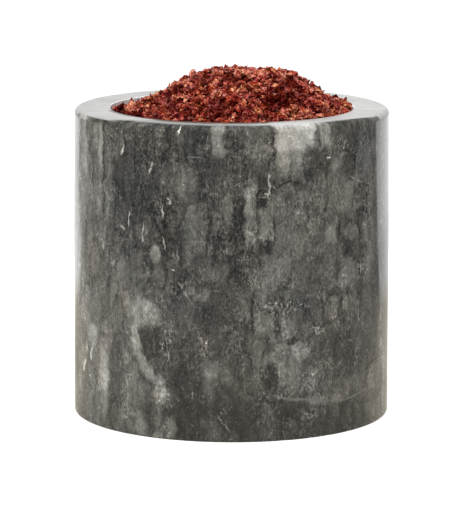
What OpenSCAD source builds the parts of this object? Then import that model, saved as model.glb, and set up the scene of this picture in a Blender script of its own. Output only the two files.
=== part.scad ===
// A round marble salt cellar, turned and bored from one block, with a flat polished rim.
// It is filled to a heap above the rim with dried chilli flakes, which lift out of the bowl.
// Millimetres, +Z up. The origin is the centre of the flat face that the cup stands on.

/* [Cup] */
// Diameter of the cup outside
cup_d = 76; // [64:1:104]
// Height of the cup from the table to its rim
cup_h = 74; // [56:1:110]
// Thickness of the upright wall, which is the width of the flat rim
wall_t = 8.8; // [6:0.2:12]
// Thickness of the stone under the bowl
floor_t = 12; // [7:0.5:20]

/* [Edges] */
// Radius of the polished outer edge of the rim
rim_r = 1.3; // [0.3:0.1:2]
// Width of the fine chamfer round the mouth of the bowl
mouth_w = 0.3; // [0.2:0.1:1.5]
// Radius of the eased edge at the foot
foot_r = 0.5; // [0.3:0.1:2]
// Radius of the corner between the bowl's wall and its floor
bowl_corner_r = 8; // [3:0.5:12]

/* [Fill] */
// Space left between the fill and the stone
fill_gap = 0.25; // [0.2:0.05:0.5]
// How far the fill lies below the rim at the wall
fill_drop = 0.9; // [0.5:0.1:3]
// Height of the heap's crown above the rim, without the loose flakes on it
crown_h = 7.4; // [3:0.2:11]
// How far the crown stands to the right of the middle
crown_shift = 1.6; // [0:0.2:4]
// How much higher the fill lies at the right wall than on the middle line
fill_lean = 0.6; // [0:0.1:0.8]
// Height of the lumps in the heap
lump_h = 0.45; // [0:0.05:0.8]
// Width of one lump
lump_w = 9; // [6:0.5:14]
// How far the packed flakes stand up or sink in the heap's rough surface
grain_h = 0.3; // [0:0.05:0.5]
// Width of one packed flake in that surface
grain_w = 2.5; // [2:0.1:5]

/* [Loose flakes] */
// Greatest width of a flake
flake_w = 2.5; // [1.6:0.1:3.4]
// Thickness of a flake
flake_t = 0.45; // [0.2:0.05:0.8]
// Least space between two loose flakes
flake_space = 0.1; // [0.05:0.05:0.6]
// Space between a loose flake and the heap under it
seat_gap = 0.15; // [0.1:0.05:0.3]

/* [Hidden] */
$fn = 96;
cup_r = cup_d / 2;
bore_r = cup_r - wall_t;
fill_r = bore_r - fill_gap;
fill_z = floor_t + fill_gap;
// How far every cut runs past the face that it opens
overrun = 1;

// The heap's rough surface as a square grid of points, each pushed a little off its place
heap_reach = fill_r + overrun;
grid_cells = round(2 * heap_reach / grain_w);
grid_step = 2 * heap_reach / grid_cells;
grain_shift_share = 0.28;
grains = rands(-grain_h, grain_h, pow(grid_cells + 1, 2), 10);
shifts = rands(-grain_shift_share, grain_shift_share, 2 * pow(grid_cells + 1, 2), 9);

// A loose flake and the spiral that spreads the flakes evenly over the heap
flake_reach = norm([flake_w, flake_t]) / 2;
field_r = fill_r - flake_reach;
// Golden angle in degrees, and the least distance of neighbours in a spiral of unit step
golden_turn = 180 * (3 - sqrt(5));
spiral_share = 1.66;
spiral_step = (2 * flake_reach + flake_space) / spiral_share;
flake_count = floor(pow(field_r / spiral_step, 2));
flake_corners = 6;
most_tilt = 26;
// Shortest and longest corner of a flake, as shares of its half width
short_share = 0.62;
long_share = 1;
// Shares of the loose flakes that are dark skin, red skin and orange flesh. The rest are pale.
dark_share = 0.36;
red_share = 0.36;
orange_share = 0.2;

tilts = rands(0, most_tilt, flake_count, 11);
turns = rands(0, 360, flake_count, 12);
spins = rands(0, 360, flake_count, 13);
kinds = rands(0, 1, flake_count, 14);
corners = rands(short_share, long_share, flake_count * flake_corners, 15);

// Height of the heap over a flat fill, from 1 in the middle to 0 at the wall
function heap_share(s) = (1 - s * s) / 2 + (1 + cos(180 * s)) / 4;

// Uneven lumps of about unit height
function lump_share(x, y) =
    (sin(360 * (x + y / 2) / lump_w) + cos(360 * (y - x / 3) / lump_w)) / 2;

// Height of the heap's surface over the table at x, y
function heap_z(x, y) =
    let (
        out = min(1, norm([x, y]) / fill_r),
        inward = 1 - out * out,
        s = min(1, norm([x - crown_shift * inward, y]) / fill_r)
    )
    cup_h - fill_drop
        + fill_lean * x / fill_r
        + (crown_h + fill_drop) * heap_share(s)
        + lump_h * inward * lump_share(x, y);

// Downhill steepness of the heap along x and y, taken over the width of a flake
function fall(x, y) = [
    (heap_z(x - flake_reach, y) - heap_z(x + flake_reach, y)) / (2 * flake_reach),
    (heap_z(x, y - flake_reach) - heap_z(x, y + flake_reach)) / (2 * flake_reach)
];

// Half outline of an upright cylinder with a rounded lower corner
module round_foot_outline(r, h, corner) {
    square([r - corner, h]);
    translate([0, corner]) square([r, h - corner]);
    translate([r - corner, corner]) circle(corner);
}

// Half outline of the block that the cup is turned from
module block_outline() {
    round_foot_outline(cup_r, cup_h - rim_r, foot_r);
    square([cup_r - rim_r, cup_h]);
    translate([cup_r - rim_r, cup_h - rim_r]) circle(rim_r);
}

// Half outline of the opening's chamfer
module mouth_outline() {
    polygon([
        [0, cup_h - mouth_w],
        [bore_r, cup_h - mouth_w],
        [bore_r + mouth_w, cup_h],
        [bore_r + mouth_w, cup_h + overrun],
        [0, cup_h + overrun]
    ]);
}

module marble_cup() {
    color([0.42, 0.40, 0.38])
    difference() {
        rotate_extrude() block_outline();
        translate([0, 0, floor_t])
            rotate_extrude() round_foot_outline(bore_r, cup_h - floor_t + overrun, bowl_corner_r);
        rotate_extrude() mouth_outline();
    }
}

// Everything below the heap's surface, in a square a little wider than the fill
module under_heap() {
    function at(col, row) = row * (grid_cells + 1) + col;
    function inside(k) = k > 0 && k < grid_cells ? grid_step : 0;
    function grid_point(col, row) =
        let (
            x = col * grid_step - heap_reach + shifts[2 * at(col, row)] * inside(col),
            y = row * grid_step - heap_reach + shifts[2 * at(col, row) + 1] * inside(row)
        )
        [x, y, heap_z(x, y) + grains[at(col, row)]];
    // The grid's edge points in turn, seen from above: front, right, back, left
    edge = [
        for (col = [0 : grid_cells - 1]) at(col, 0),
        for (row = [0 : grid_cells - 1]) at(grid_cells, row),
        for (col = [grid_cells : -1 : 1]) at(col, grid_cells),
        for (row = [grid_cells : -1 : 1]) at(0, row)
    ];
    top = [for (row = [0 : grid_cells], col = [0 : grid_cells]) grid_point(col, row)];
    base_z = fill_z - overrun;
    base = [for (n = edge) [top[n].x, top[n].y, base_z]];
    base_start = len(top);
    base_middle = base_start + len(base);
    faces = [
        for (row = [0 : grid_cells - 1], col = [0 : grid_cells - 1]) each [
            [at(col, row), at(col, row + 1), at(col + 1, row)],
            [at(col + 1, row), at(col, row + 1), at(col + 1, row + 1)]
        ],
        for (k = [0 : len(edge) - 1])
            let (next = (k + 1) % len(edge))
            each [
                [edge[k], edge[next], base_start + k],
                [edge[next], base_start + next, base_start + k],
                [base_start + k, base_start + next, base_middle]
            ]
    ];
    polyhedron(concat(top, base, [[0, 0, base_z]]), faces);
}

module flake_bed() {
    color([0.45, 0.10, 0.05])
    intersection() {
        translate([0, 0, fill_z]) rotate_extrude()
            round_foot_outline(fill_r, cup_h + 2 * crown_h - fill_z, bowl_corner_r - fill_gap);
        under_heap();
    }
}

// One thin broken chip with uneven corners, round its own middle
module flake(n) {
    linear_extrude(flake_t, center = true)
        polygon([
            for (k = [0 : flake_corners - 1])
                let (r = corners[n * flake_corners + k] * flake_w / 2, a = 360 * k / flake_corners)
                [r * cos(a), r * sin(a)]
        ]);
}

// A flake lying on the heap, tipped a little from the slope under it
module seated_flake(n) {
    r = spiral_step * sqrt(n + 0.5);
    x = r * cos(golden_turn * n);
    y = r * sin(golden_turn * n);
    slope = fall(x, y);
    lift = flake_w / 2 * sin(tilts[n]) + flake_t / 2 + grain_h + seat_gap;
    translate([x, y, heap_z(x, y)])
        rotate([0, atan(norm(slope)), atan2(slope[1], slope[0])])
        translate([0, 0, lift])
        rotate([0, 0, turns[n]])
        rotate([0, tilts[n], 0])
        rotate([0, 0, spins[n]])
        flake(n);
}

// The loose flakes whose kind lies between two shares
module flakes_between(low_share, high_share) {
    for (n = [0 : flake_count - 1])
        if (kinds[n] >= low_share && kinds[n] < high_share) seated_flake(n);
}

module dark_flakes() {
    color([0.25, 0.05, 0.04]) flakes_between(0, dark_share);
}

module red_flakes() {
    color([0.62, 0.09, 0.04]) flakes_between(dark_share, dark_share + red_share);
}

module orange_flakes() {
    color([0.85, 0.25, 0.06])
        flakes_between(dark_share + red_share, dark_share + red_share + orange_share);
}

module pale_bits() {
    color([0.88, 0.66, 0.32]) flakes_between(dark_share + red_share + orange_share, 1);
}

marble_cup();
flake_bed();
dark_flakes();
red_flakes();
orange_flakes();
pale_bits();
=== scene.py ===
"""Marble salt cellar: a turned stone cup, heaped with crushed dried pepper.

The file is laid out as a Blender add-on and is run as a script. Each operator makes one piece,
or one group of like pieces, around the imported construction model.
"""
import math
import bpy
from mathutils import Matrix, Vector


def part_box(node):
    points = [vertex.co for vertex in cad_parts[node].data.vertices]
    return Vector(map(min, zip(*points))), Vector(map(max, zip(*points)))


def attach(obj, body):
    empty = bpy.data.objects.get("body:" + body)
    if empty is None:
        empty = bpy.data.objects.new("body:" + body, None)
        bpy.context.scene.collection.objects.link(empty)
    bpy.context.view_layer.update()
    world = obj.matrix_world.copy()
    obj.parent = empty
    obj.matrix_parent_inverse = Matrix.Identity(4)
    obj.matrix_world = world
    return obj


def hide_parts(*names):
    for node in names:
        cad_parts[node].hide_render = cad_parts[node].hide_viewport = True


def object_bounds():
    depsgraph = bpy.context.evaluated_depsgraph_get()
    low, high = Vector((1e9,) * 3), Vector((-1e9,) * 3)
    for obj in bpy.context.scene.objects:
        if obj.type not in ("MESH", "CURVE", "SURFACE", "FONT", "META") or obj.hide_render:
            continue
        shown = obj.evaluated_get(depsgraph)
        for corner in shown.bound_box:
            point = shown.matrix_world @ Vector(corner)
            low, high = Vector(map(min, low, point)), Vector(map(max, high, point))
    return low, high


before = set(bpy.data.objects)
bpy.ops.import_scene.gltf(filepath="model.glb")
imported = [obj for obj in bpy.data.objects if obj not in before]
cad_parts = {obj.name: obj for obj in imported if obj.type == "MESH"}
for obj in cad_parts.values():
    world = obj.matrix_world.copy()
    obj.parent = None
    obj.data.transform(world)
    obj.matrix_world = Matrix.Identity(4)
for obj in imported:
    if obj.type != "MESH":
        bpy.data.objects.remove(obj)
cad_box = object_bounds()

from types import SimpleNamespace

import bmesh
import bpy
import numpy as np
from bpy.props import FloatProperty, FloatVectorProperty, IntProperty, PointerProperty
from mathutils import Vector, noise
from mathutils.bvhtree import BVHTree

bl_info = {
    "name": "Marble Salt Cellar",
    "version": (1, 0, 0),
    "blender": (4, 5, 0),
    "location": "3D View > Sidebar > Salt Cellar",
    "description": "Makes a marble cup with its heap of crushed dried pepper, and a plain stage",
    "category": "Object",
}

MM = 0.001
CUP_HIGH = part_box("marble_cup")[1]
BED_LOW, BED_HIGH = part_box("flake_bed")

# Half size of a patch along the tone's axis, so large that the tone doesn't count in its reach
TONE_LEFT_OUT = 1e6
# How far a fully soft patch spreads past its half size, as a share of it
SOFT_SPILL = 0.45

# Patches on the front of the cup: place round the wall and height above the foot in millimetres,
# half width, half height, turn in degrees, grey level from 0 to 255, softness and strength.
CLOUD_PATCHES = [
    (-43.0, 60.0, 8.0, 18.0, 0, 132, 0.9, 0.9),
    (-42.0, 25.0, 9.0, 28.0, 0, 124, 0.9, 0.9),
    (-33.0, 34.0, 4.4, 13.0, 0, 108, 0.9, 0.85),
    (-34.0, 67.0, 3.6, 9.0, 0, 113, 0.9, 0.85),
    (-18.5, 68.0, 6.0, 10.0, 0, 60, 0.7, 0.9),
    (-24.5, 57.0, 8.0, 9.5, -12, 62, 0.7, 0.92),
    (-15.5, 51.0, 4.6, 9.0, 0, 57, 0.7, 0.9),
    (-28.0, 47.0, 5.5, 4.4, 0, 76, 0.8, 0.85),
    (-18.5, 40.5, 8.0, 5.6, 0, 72, 0.8, 0.85),
    (-12.8, 39.5, 3.2, 6.0, 0, 54, 0.8, 0.85),
    (-9.5, 22.0, 7.0, 5.0, 0, 74, 0.9, 0.8),
    (-6.0, 42.5, 5.0, 3.6, 0, 70, 0.8, 0.85),
    (1.6, 45.0, 3.0, 9.0, 0, 53, 0.6, 0.85),
    (-10.5, 9.0, 5.0, 13.0, 0, 46, 0.7, 0.92),
    (2.0, 6.0, 13.0, 8.0, 0, 56, 0.8, 0.9),
    (15.0, 5.0, 7.0, 7.0, 0, 48, 0.7, 0.9),
    (29.0, 3.0, 9.0, 4.8, 0, 58, 0.7, 0.9),
    (2.5, 21.0, 3.4, 7.0, 0, 60, 0.8, 0.85),
    (9.4, 15.0, 2.2, 3.6, 0, 46, 0.7, 0.9),
    (31.0, 20.0, 5.4, 8.0, 0, 58, 0.8, 0.85),
    (18.0, 38.0, 7.0, 8.0, 0, 102, 0.9, 0.85),
    (24.4, 44.0, 1.8, 4.4, 0, 118, 0.8, 0.85),
    (39.0, 66.0, 4.4, 12.0, 0, 120, 0.9, 0.9),
    (39.6, 42.0, 4.4, 13.0, 0, 124, 0.9, 0.9),
    (-14.6, 51.5, 2.6, 5.8, 0, 54, 0.6, 0.9),
    (31.0, 66.5, 4.0, 5.0, 0, 80, 0.7, 0.8),
    (35.5, 54.0, 3.0, 5.0, 0, 74, 0.7, 0.85),
    (27.4, 57.5, 4.2, 4.6, 0, 120, 0.7, 0.9),
    (22.8, 58.0, 1.6, 4.0, 0, 72, 0.7, 0.9),
    (8.4, 60.0, 2.4, 3.0, 0, 69, 0.7, 0.85),
    (26.8, 62.5, 1.4, 3.4, 0, 115, 0.6, 0.85),
    (13.5, 49.0, 4.2, 8.6, 0, 102, 0.6, 0.85),
    (18.4, 53.0, 3.6, 7.0, 0, 102, 0.7, 0.75),
    (24.8, 48.0, 1.9, 2.2, 0, 136, 0.6, 0.9),
    (31.0, 44.2, 3.0, 2.4, 0, 66, 0.6, 0.9),
    (30.6, 38.2, 2.8, 4.2, 0, 124, 0.6, 0.9),
    (-0.9, 55.5, 1.2, 4.4, 0, 108, 0.6, 0.85),
    (-10.8, 61.5, 3.0, 4.4, 0, 104, 0.6, 0.9),
    (5.6, 69.5, 3.0, 4.2, 0, 106, 0.6, 0.85),
    (0.0, 68.0, 1.6, 5.6, 0, 78, 0.6, 0.85),
    (-3.2, 46.0, 2.2, 3.6, 0, 62, 0.6, 0.85),
    (-46.5, 53.0, 3.4, 8.0, 0, 176, 0.6, 0.9),
    (-42.0, 57.0, 2.4, 7.0, 0, 143, 0.7, 0.85),
    (-40.2, 66.0, 2.2, 8.0, 0, 107, 0.7, 0.85),
    (-32.4, 60.0, 1.7, 4.4, 0, 108, 0.7, 0.85),
    (-37.6, 46.6, 4.4, 1.6, -28, 118, 0.7, 0.9),
    (-38.8, 40.0, 3.6, 5.0, 0, 126, 0.7, 0.85),
    (-45.5, 38.0, 3.6, 8.0, 0, 158, 0.7, 0.85),
    (-27.8, 38.4, 2.4, 3.6, 0, 117, 0.7, 0.85),
    (-32.4, 39.0, 0.9, 5.0, 0, 66, 0.7, 0.85),
    (-31.4, 40.6, 0.9, 1.2, 0, 140, 0.8, 0.8),
    (-44.5, 29.0, 3.4, 8.0, 0, 142, 0.7, 0.9),
    (-47.5, 18.0, 3.6, 17.0, 0, 138, 0.6, 0.9),
    (-38.0, 30.0, 3.2, 5.0, 0, 128, 0.7, 0.8),
    (-29.6, 30.0, 0.8, 4.2, 0, 76, 0.7, 0.85),
    (-32.8, 32.0, 0.7, 6.0, 0, 74, 0.7, 0.8),
    (-39.6, 21.8, 2.2, 2.8, 0, 161, 0.5, 0.95),
    (-34.8, 14.4, 2.4, 7.2, 0, 166, 0.6, 0.95),
    (-34.6, 6.0, 1.2, 4.4, 0, 140, 0.7, 0.85),
    (-30.6, 14.6, 1.5, 3.2, 0, 90, 0.6, 0.85),
    (-25.5, 10.0, 4.0, 10.0, 0, 112, 0.7, 0.8),
    (-21.6, 30.0, 4.8, 3.3, -30, 138, 0.5, 0.95),
    (-26.4, 31.0, 1.1, 3.2, 0, 138, 0.6, 0.9),
    (-23.6, 23.8, 1.8, 4.6, 0, 155, 0.6, 0.9),
    (-21.0, 17.0, 1.6, 5.0, 36, 142, 0.5, 0.95),
    (-17.2, 11.4, 2.0, 3.8, 10, 142, 0.6, 0.95),
    (-17.6, 22.4, 3.2, 3.8, 0, 58, 0.5, 0.95),
    (-15.0, 17.5, 2.2, 3.6, 20, 56, 0.5, 0.9),
    (-18.4, 22.0, 0.4, 1.8, 12, 108, 0.8, 0.8),
    (-11.0, 8.5, 2.1, 6.6, 0, 48, 0.6, 0.95),
    (-19.2, 4.0, 1.1, 3.6, 0, 66, 0.6, 0.85),
    (-23.0, 3.0, 1.8, 2.4, 0, 112, 0.7, 0.85),
    (-14.2, 2.8, 1.3, 2.6, 0, 104, 0.7, 0.85),
    (-4.0, 28.0, 4.6, 3.6, 0, 72, 0.6, 0.85),
    (-6.8, 30.2, 1.8, 1.9, 0, 60, 0.6, 0.8),
    (-1.0, 27.2, 1.5, 1.0, 35, 98, 0.7, 0.8),
    (-4.2, 17.2, 2.3, 2.3, 0, 124, 0.6, 0.9),
    (-0.8, 15.4, 2.0, 1.6, 0, 98, 0.7, 0.8),
    (-1.0, 4.0, 6.0, 3.0, 0, 60, 0.7, 0.75),
    (27.0, 21.0, 6.4, 3.2, 0, 66, 0.6, 0.9),
    (38.4, 23.0, 4.6, 8.6, 0, 86, 0.6, 0.9),
    (26.0, 30.0, 4.6, 4.4, 0, 74, 0.6, 0.85),
    (29.0, 11.5, 6.4, 2.4, 0, 98, 0.6, 0.85),
    (24.0, 8.9, 7.6, 1.1, 0, 112, 0.7, 0.85),
    (24.0, 3.0, 11.0, 3.6, 0, 68, 0.5, 0.9),
    (13.0, 5.0, 2.6, 4.4, 0, 54, 0.6, 0.9),
    (43.5, 8.0, 5.0, 7.6, 0, 112, 0.5, 0.95),
    (46.5, 20.0, 2.6, 8.0, 0, 126, 0.5, 0.9),
    (39.2, 3.6, 1.2, 3.0, 40, 108, 0.7, 0.8),
    (8.0, 22.0, 1.3, 1.6, 0, 66, 0.7, 0.8),
    # This pale patch near the left edge is partly the stone's own tone and partly a painted reflection
    # at the grazing edge.
    (-51.5, 33.0, 2.6, 16.0, 0, 150, 0.6, 0.85),
]

# Pebbles and the dark places between them, given in the same way.
PEBBLE_PATCHES = [
    (-18.4, 43.9, 1.6, 2.1, 0, 140, 0.4, 0.95),
    (-17.6, 40.0, 1.2, 2.0, 0, 92, 0.6, 0.8),
    (-5.2, 39.5, 2.3, 2.1, 0, 103, 0.4, 0.95),
    (4.6, 40.5, 2.0, 1.9, 0, 90, 0.4, 0.9),
    (9.6, 40.0, 2.1, 4.4, 0, 121, 0.4, 0.95),
    (-7.0, 34.6, 2.1, 1.6, 0, 121, 0.6, 0.85),
    (31.2, 48.0, 3.4, 2.9, 0, 74, 0.5, 0.85),
    (31.4, 48.1, 2.8, 2.3, 0, 104, 0.4, 0.9),
    (25.4, 30.6, 2.1, 3.3, -24, 112, 0.4, 0.95),
    (29.6, 31.0, 0.9, 2.4, 0, 117, 0.5, 0.9),
    (4.9, 29.5, 0.5, 5.6, 0, 50, 0.7, 0.9),
    (10.8, 27.8, 0.8, 3.6, 0, 42, 0.7, 0.9),
    (7.3, 28.2, 1.9, 2.6, 0, 129, 0.5, 0.95),
    (7.8, 23.6, 1.7, 2.4, 0, 72, 0.6, 0.85),
    (13.2, 26.6, 1.5, 2.6, -15, 110, 0.5, 0.95),
    (14.5, 23.9, 1.6, 1.0, 0, 46, 0.6, 0.95),
    (16.5, 21.2, 2.3, 2.4, 0, 134, 0.5, 0.95),
    (14.2, 15.6, 2.7, 4.8, 0, 107, 0.5, 0.95),
    (19.4, 14.6, 2.2, 3.4, 0, 112, 0.6, 0.9),
    (9.8, 15.6, 1.7, 3.2, 0, 42, 0.6, 0.9),
]

# Bands with square corners, given in the same way.
BAND_PATCHES = [
    (12.8, 62.0, 3.4, 2.0, 0, 88, 0.8, 0.8),
    (13.4, 64.6, 3.5, 2.4, 0, 114, 0.9, 0.9),
    (14.0, 67.4, 3.9, 2.6, 0, 144, 0.7, 0.95),
    (14.8, 72.8, 4.7, 5.0, 0, 182, 0.35, 1.0),
    (19.2, 72.6, 1.5, 4.4, -14, 180, 0.5, 1.0),
    (17.4, 64.4, 0.4, 3.2, 8, 76, 0.8, 0.8),
    (21.0, 65.4, 3.1, 3.9, 0, 72, 0.5, 0.95),
    (21.3, 69.4, 0.6, 2.8, 0, 96, 0.7, 0.9),
    (23.2, 72.2, 1.6, 4.0, 0, 150, 0.6, 0.95),
    (9.6, 69.6, 0.5, 4.0, 3, 72, 0.7, 0.9),
    (4.3, 53.6, 1.45, 7.4, 0, 118, 0.3, 0.95),
    (3.7, 57.2, 1.1, 2.8, 0, 151, 0.6, 0.9),
    (1.7, 50.4, 1.5, 7.2, 0, 56, 0.4, 0.9),
    (7.9, 52.0, 1.8, 4.2, 0, 116, 0.4, 0.95),
    (7.0, 57.2, 1.1, 2.2, 0, 60, 0.5, 0.9),
    (7.8, 45.8, 2.0, 1.8, 0, 62, 0.5, 0.95),
    (-8.0, 50.6, 2.6, 6.6, 0, 111, 0.5, 0.9),
    (-7.1, 62.0, 0.7, 5.6, 0, 64, 0.6, 0.9),
    (-5.2, 49.4, 0.7, 7.0, 0, 58, 0.6, 0.9),
    (-9.0, 69.6, 2.5, 3.6, 0, 71, 0.4, 0.9),
    (-6.9, 71.2, 0.9, 1.8, 0, 54, 0.5, 0.9),
    (-3.2, 71.4, 1.5, 4.4, 0, 140, 0.6, 0.95),
    (-45.2, 64.0, 2.8, 4.4, 0, 170, 0.6, 0.95),
    (-46.0, 71.4, 2.8, 3.4, 0, 170, 0.6, 0.85),
    (-39.4, 62.0, 0.5, 5.0, 0, 90, 0.7, 0.85),
    (-38.2, 70.0, 1.2, 4.0, 0, 147, 0.7, 0.85),
    (-41.2, 66.0, 0.5, 7.0, 0, 98, 0.7, 0.8),
    (-35.9, 68.0, 0.9, 6.6, 0, 160, 0.6, 0.9),
    (-36.0, 55.0, 1.0, 7.4, 0, 121, 0.6, 0.85),
    (-34.7, 61.0, 0.35, 13.4, 0, 72, 0.7, 0.9),
    (-21.0, 21.6, 0.8, 4.6, 16, 62, 0.5, 0.9),
    (10.0, 49.4, 0.3, 3.2, 0, 62, 0.7, 0.85),
    (12.6, 60.4, 3.4, 0.35, 12, 54, 0.8, 0.85),
    (6.4, 42.4, 0.3, 1.6, 20, 68, 0.7, 0.85),
    (27.6, 49.0, 0.4, 1.6, 0, 66, 0.7, 0.85),
    (28.4, 46.4, 0.4, 1.4, -40, 58, 0.7, 0.85),
    (40.4, 15.0, 2.6, 0.35, 22, 40, 0.7, 0.85),
    (29.4, 3.6, 0.8, 3.4, 0, 54, 0.6, 0.85),
    # This pale upright strip near the right edge is a painted reflection of the pale floor behind the
    # cup on the right.
    (48.4, 58.0, 3.6, 17.0, 0, 112, 0.6, 0.9),
]

# Places where the stone's fine grain is stronger or weaker than elsewhere. The grey level stands
# for the strength.
GRAIN_PATCHES = [
    (-20.0, 68.0, 4.5, 6.0, 0, 180, 0.6, 1.0),
    (-17.0, 55.0, 2.4, 4.0, 0, 200, 0.6, 1.0),
    (0.0, 68.0, 1.8, 6.0, 0, 170, 0.6, 1.0),
    (1.2, 50.0, 1.6, 8.0, 0, 150, 0.5, 1.0),
    (4.4, 48.0, 1.4, 4.0, 0, 160, 0.5, 1.0),
    (-3.2, 46.0, 2.4, 4.0, 0, 160, 0.6, 1.0),
    (-6.2, 57.0, 0.9, 7.0, 0, 190, 0.6, 1.0),
    (-29.0, 57.0, 2.2, 1.6, 0, 240, 0.6, 1.0),
    (-15.5, 23.5, 1.8, 4.5, 0, 255, 0.6, 1.0),
    (9.8, 69.0, 0.8, 4.0, 0, 240, 0.6, 1.0),
    (28.5, 68.5, 2.8, 3.4, 0, 255, 0.6, 1.0),
    (12.0, 31.8, 7.0, 2.0, 0, 255, 0.6, 1.0),
    (21.0, 26.0, 2.2, 1.8, 0, 255, 0.6, 1.0),
    (29.0, 25.4, 2.2, 2.2, 0, 255, 0.6, 1.0),
    (38.0, 55.0, 3.0, 5.0, 0, 220, 0.6, 1.0),
    (35.6, 39.0, 2.4, 3.0, 0, 230, 0.6, 1.0),
    (32.0, 18.0, 3.0, 3.0, 0, 220, 0.6, 1.0),
    (19.0, 13.5, 2.0, 3.0, 0, 220, 0.6, 1.0),
    (19.5, 6.0, 2.4, 1.4, 0, 255, 0.6, 1.0),
    (4.6, 40.5, 1.8, 1.8, 0, 210, 0.6, 1.0),
    (-12.0, 36.0, 2.4, 3.0, 0, 240, 0.6, 1.0),
    (-6.6, 23.0, 1.6, 3.6, 0, 240, 0.6, 1.0),
    (-40.0, 44.5, 1.6, 2.0, 0, 230, 0.6, 1.0),
    (15.0, 70.0, 4.6, 6.0, 0, 20, 0.5, 1.0),
    (-26.0, 59.5, 3.4, 6.0, 0, 40, 0.6, 1.0),
    (-9.0, 69.8, 1.9, 2.8, 0, 30, 0.6, 1.0),
    (8.0, 52.0, 1.6, 3.6, 0, 20, 0.5, 1.0),
    (26.5, 57.0, 4.0, 4.4, 0, 50, 0.6, 1.0),
    (31.2, 48.0, 2.4, 2.0, 0, 60, 0.6, 1.0),
    (9.6, 40.0, 1.8, 4.0, 0, 40, 0.5, 1.0),
    (-5.2, 39.5, 1.9, 1.8, 0, 60, 0.5, 1.0),
    (-45.0, 65.0, 2.8, 4.0, 0, 20, 0.6, 1.0),
    (-40.0, 21.6, 2.0, 2.6, 0, 30, 0.6, 1.0),
    (7.3, 28.2, 1.7, 2.4, 0, 50, 0.6, 1.0),
    (16.5, 21.2, 2.0, 2.0, 0, 50, 0.6, 1.0),
    (-7.0, 34.6, 2.0, 1.4, 0, 50, 0.6, 1.0),
    (38.0, 22.0, 4.0, 5.0, 0, 60, 0.6, 1.0),
    (25.5, 20.8, 3.6, 1.8, 0, 50, 0.6, 1.0),
    (-11.0, 8.0, 1.8, 5.0, 0, 60, 0.6, 1.0),
    (31.0, 39.4, 2.0, 2.4, 0, 50, 0.6, 1.0),
    (14.0, 65.6, 3.6, 4.6, 0, 20, 0.5, 1.0),
]

# Places where the stone is warmer or cooler. The grey level stands for warmth, with 128 between.
WARM_PATCHES = [
    (-48.0, 12.0, 7.0, 17.0, 0, 240, 0.7, 1.0),
    (-39.0, 40.0, 4.6, 7.0, 0, 225, 0.7, 0.9),
    (-27.2, 31.0, 1.5, 4.0, 0, 240, 0.7, 0.9),
    (-36.5, 15.0, 2.4, 5.0, 0, 200, 0.7, 0.9),
    (-18.6, 10.0, 1.4, 2.6, 0, 230, 0.7, 0.9),
    (44.0, 11.0, 6.0, 15.0, 0, 240, 0.6, 1.0),
    (34.0, 5.0, 7.0, 5.0, 0, 200, 0.7, 0.8),
    (19.0, 46.0, 5.0, 10.0, 0, 175, 0.7, 0.9),
    (27.0, 30.0, 5.0, 4.4, 0, 180, 0.7, 0.9),
    (7.4, 52.0, 2.2, 9.0, 0, 175, 0.7, 0.9),
    (-14.5, 51.0, 3.0, 7.0, 0, 185, 0.7, 0.9),
    (-6.4, 22.5, 1.8, 4.0, 0, 210, 0.7, 0.9),
    (-9.0, 69.5, 3.0, 4.0, 0, 30, 0.7, 0.9),
    (36.5, 66.0, 5.0, 8.0, 0, 50, 0.7, 0.9),
    (38.0, 24.0, 4.6, 8.0, 0, 20, 0.7, 0.9),
    (-40.0, 21.6, 2.2, 3.0, 0, 60, 0.7, 0.9),
    # Cool along the right edge, the tint of the painted reflection strip there.
    (49.0, 55.0, 4.0, 20.0, 0, 20, 0.5, 0.9),
]

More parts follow.
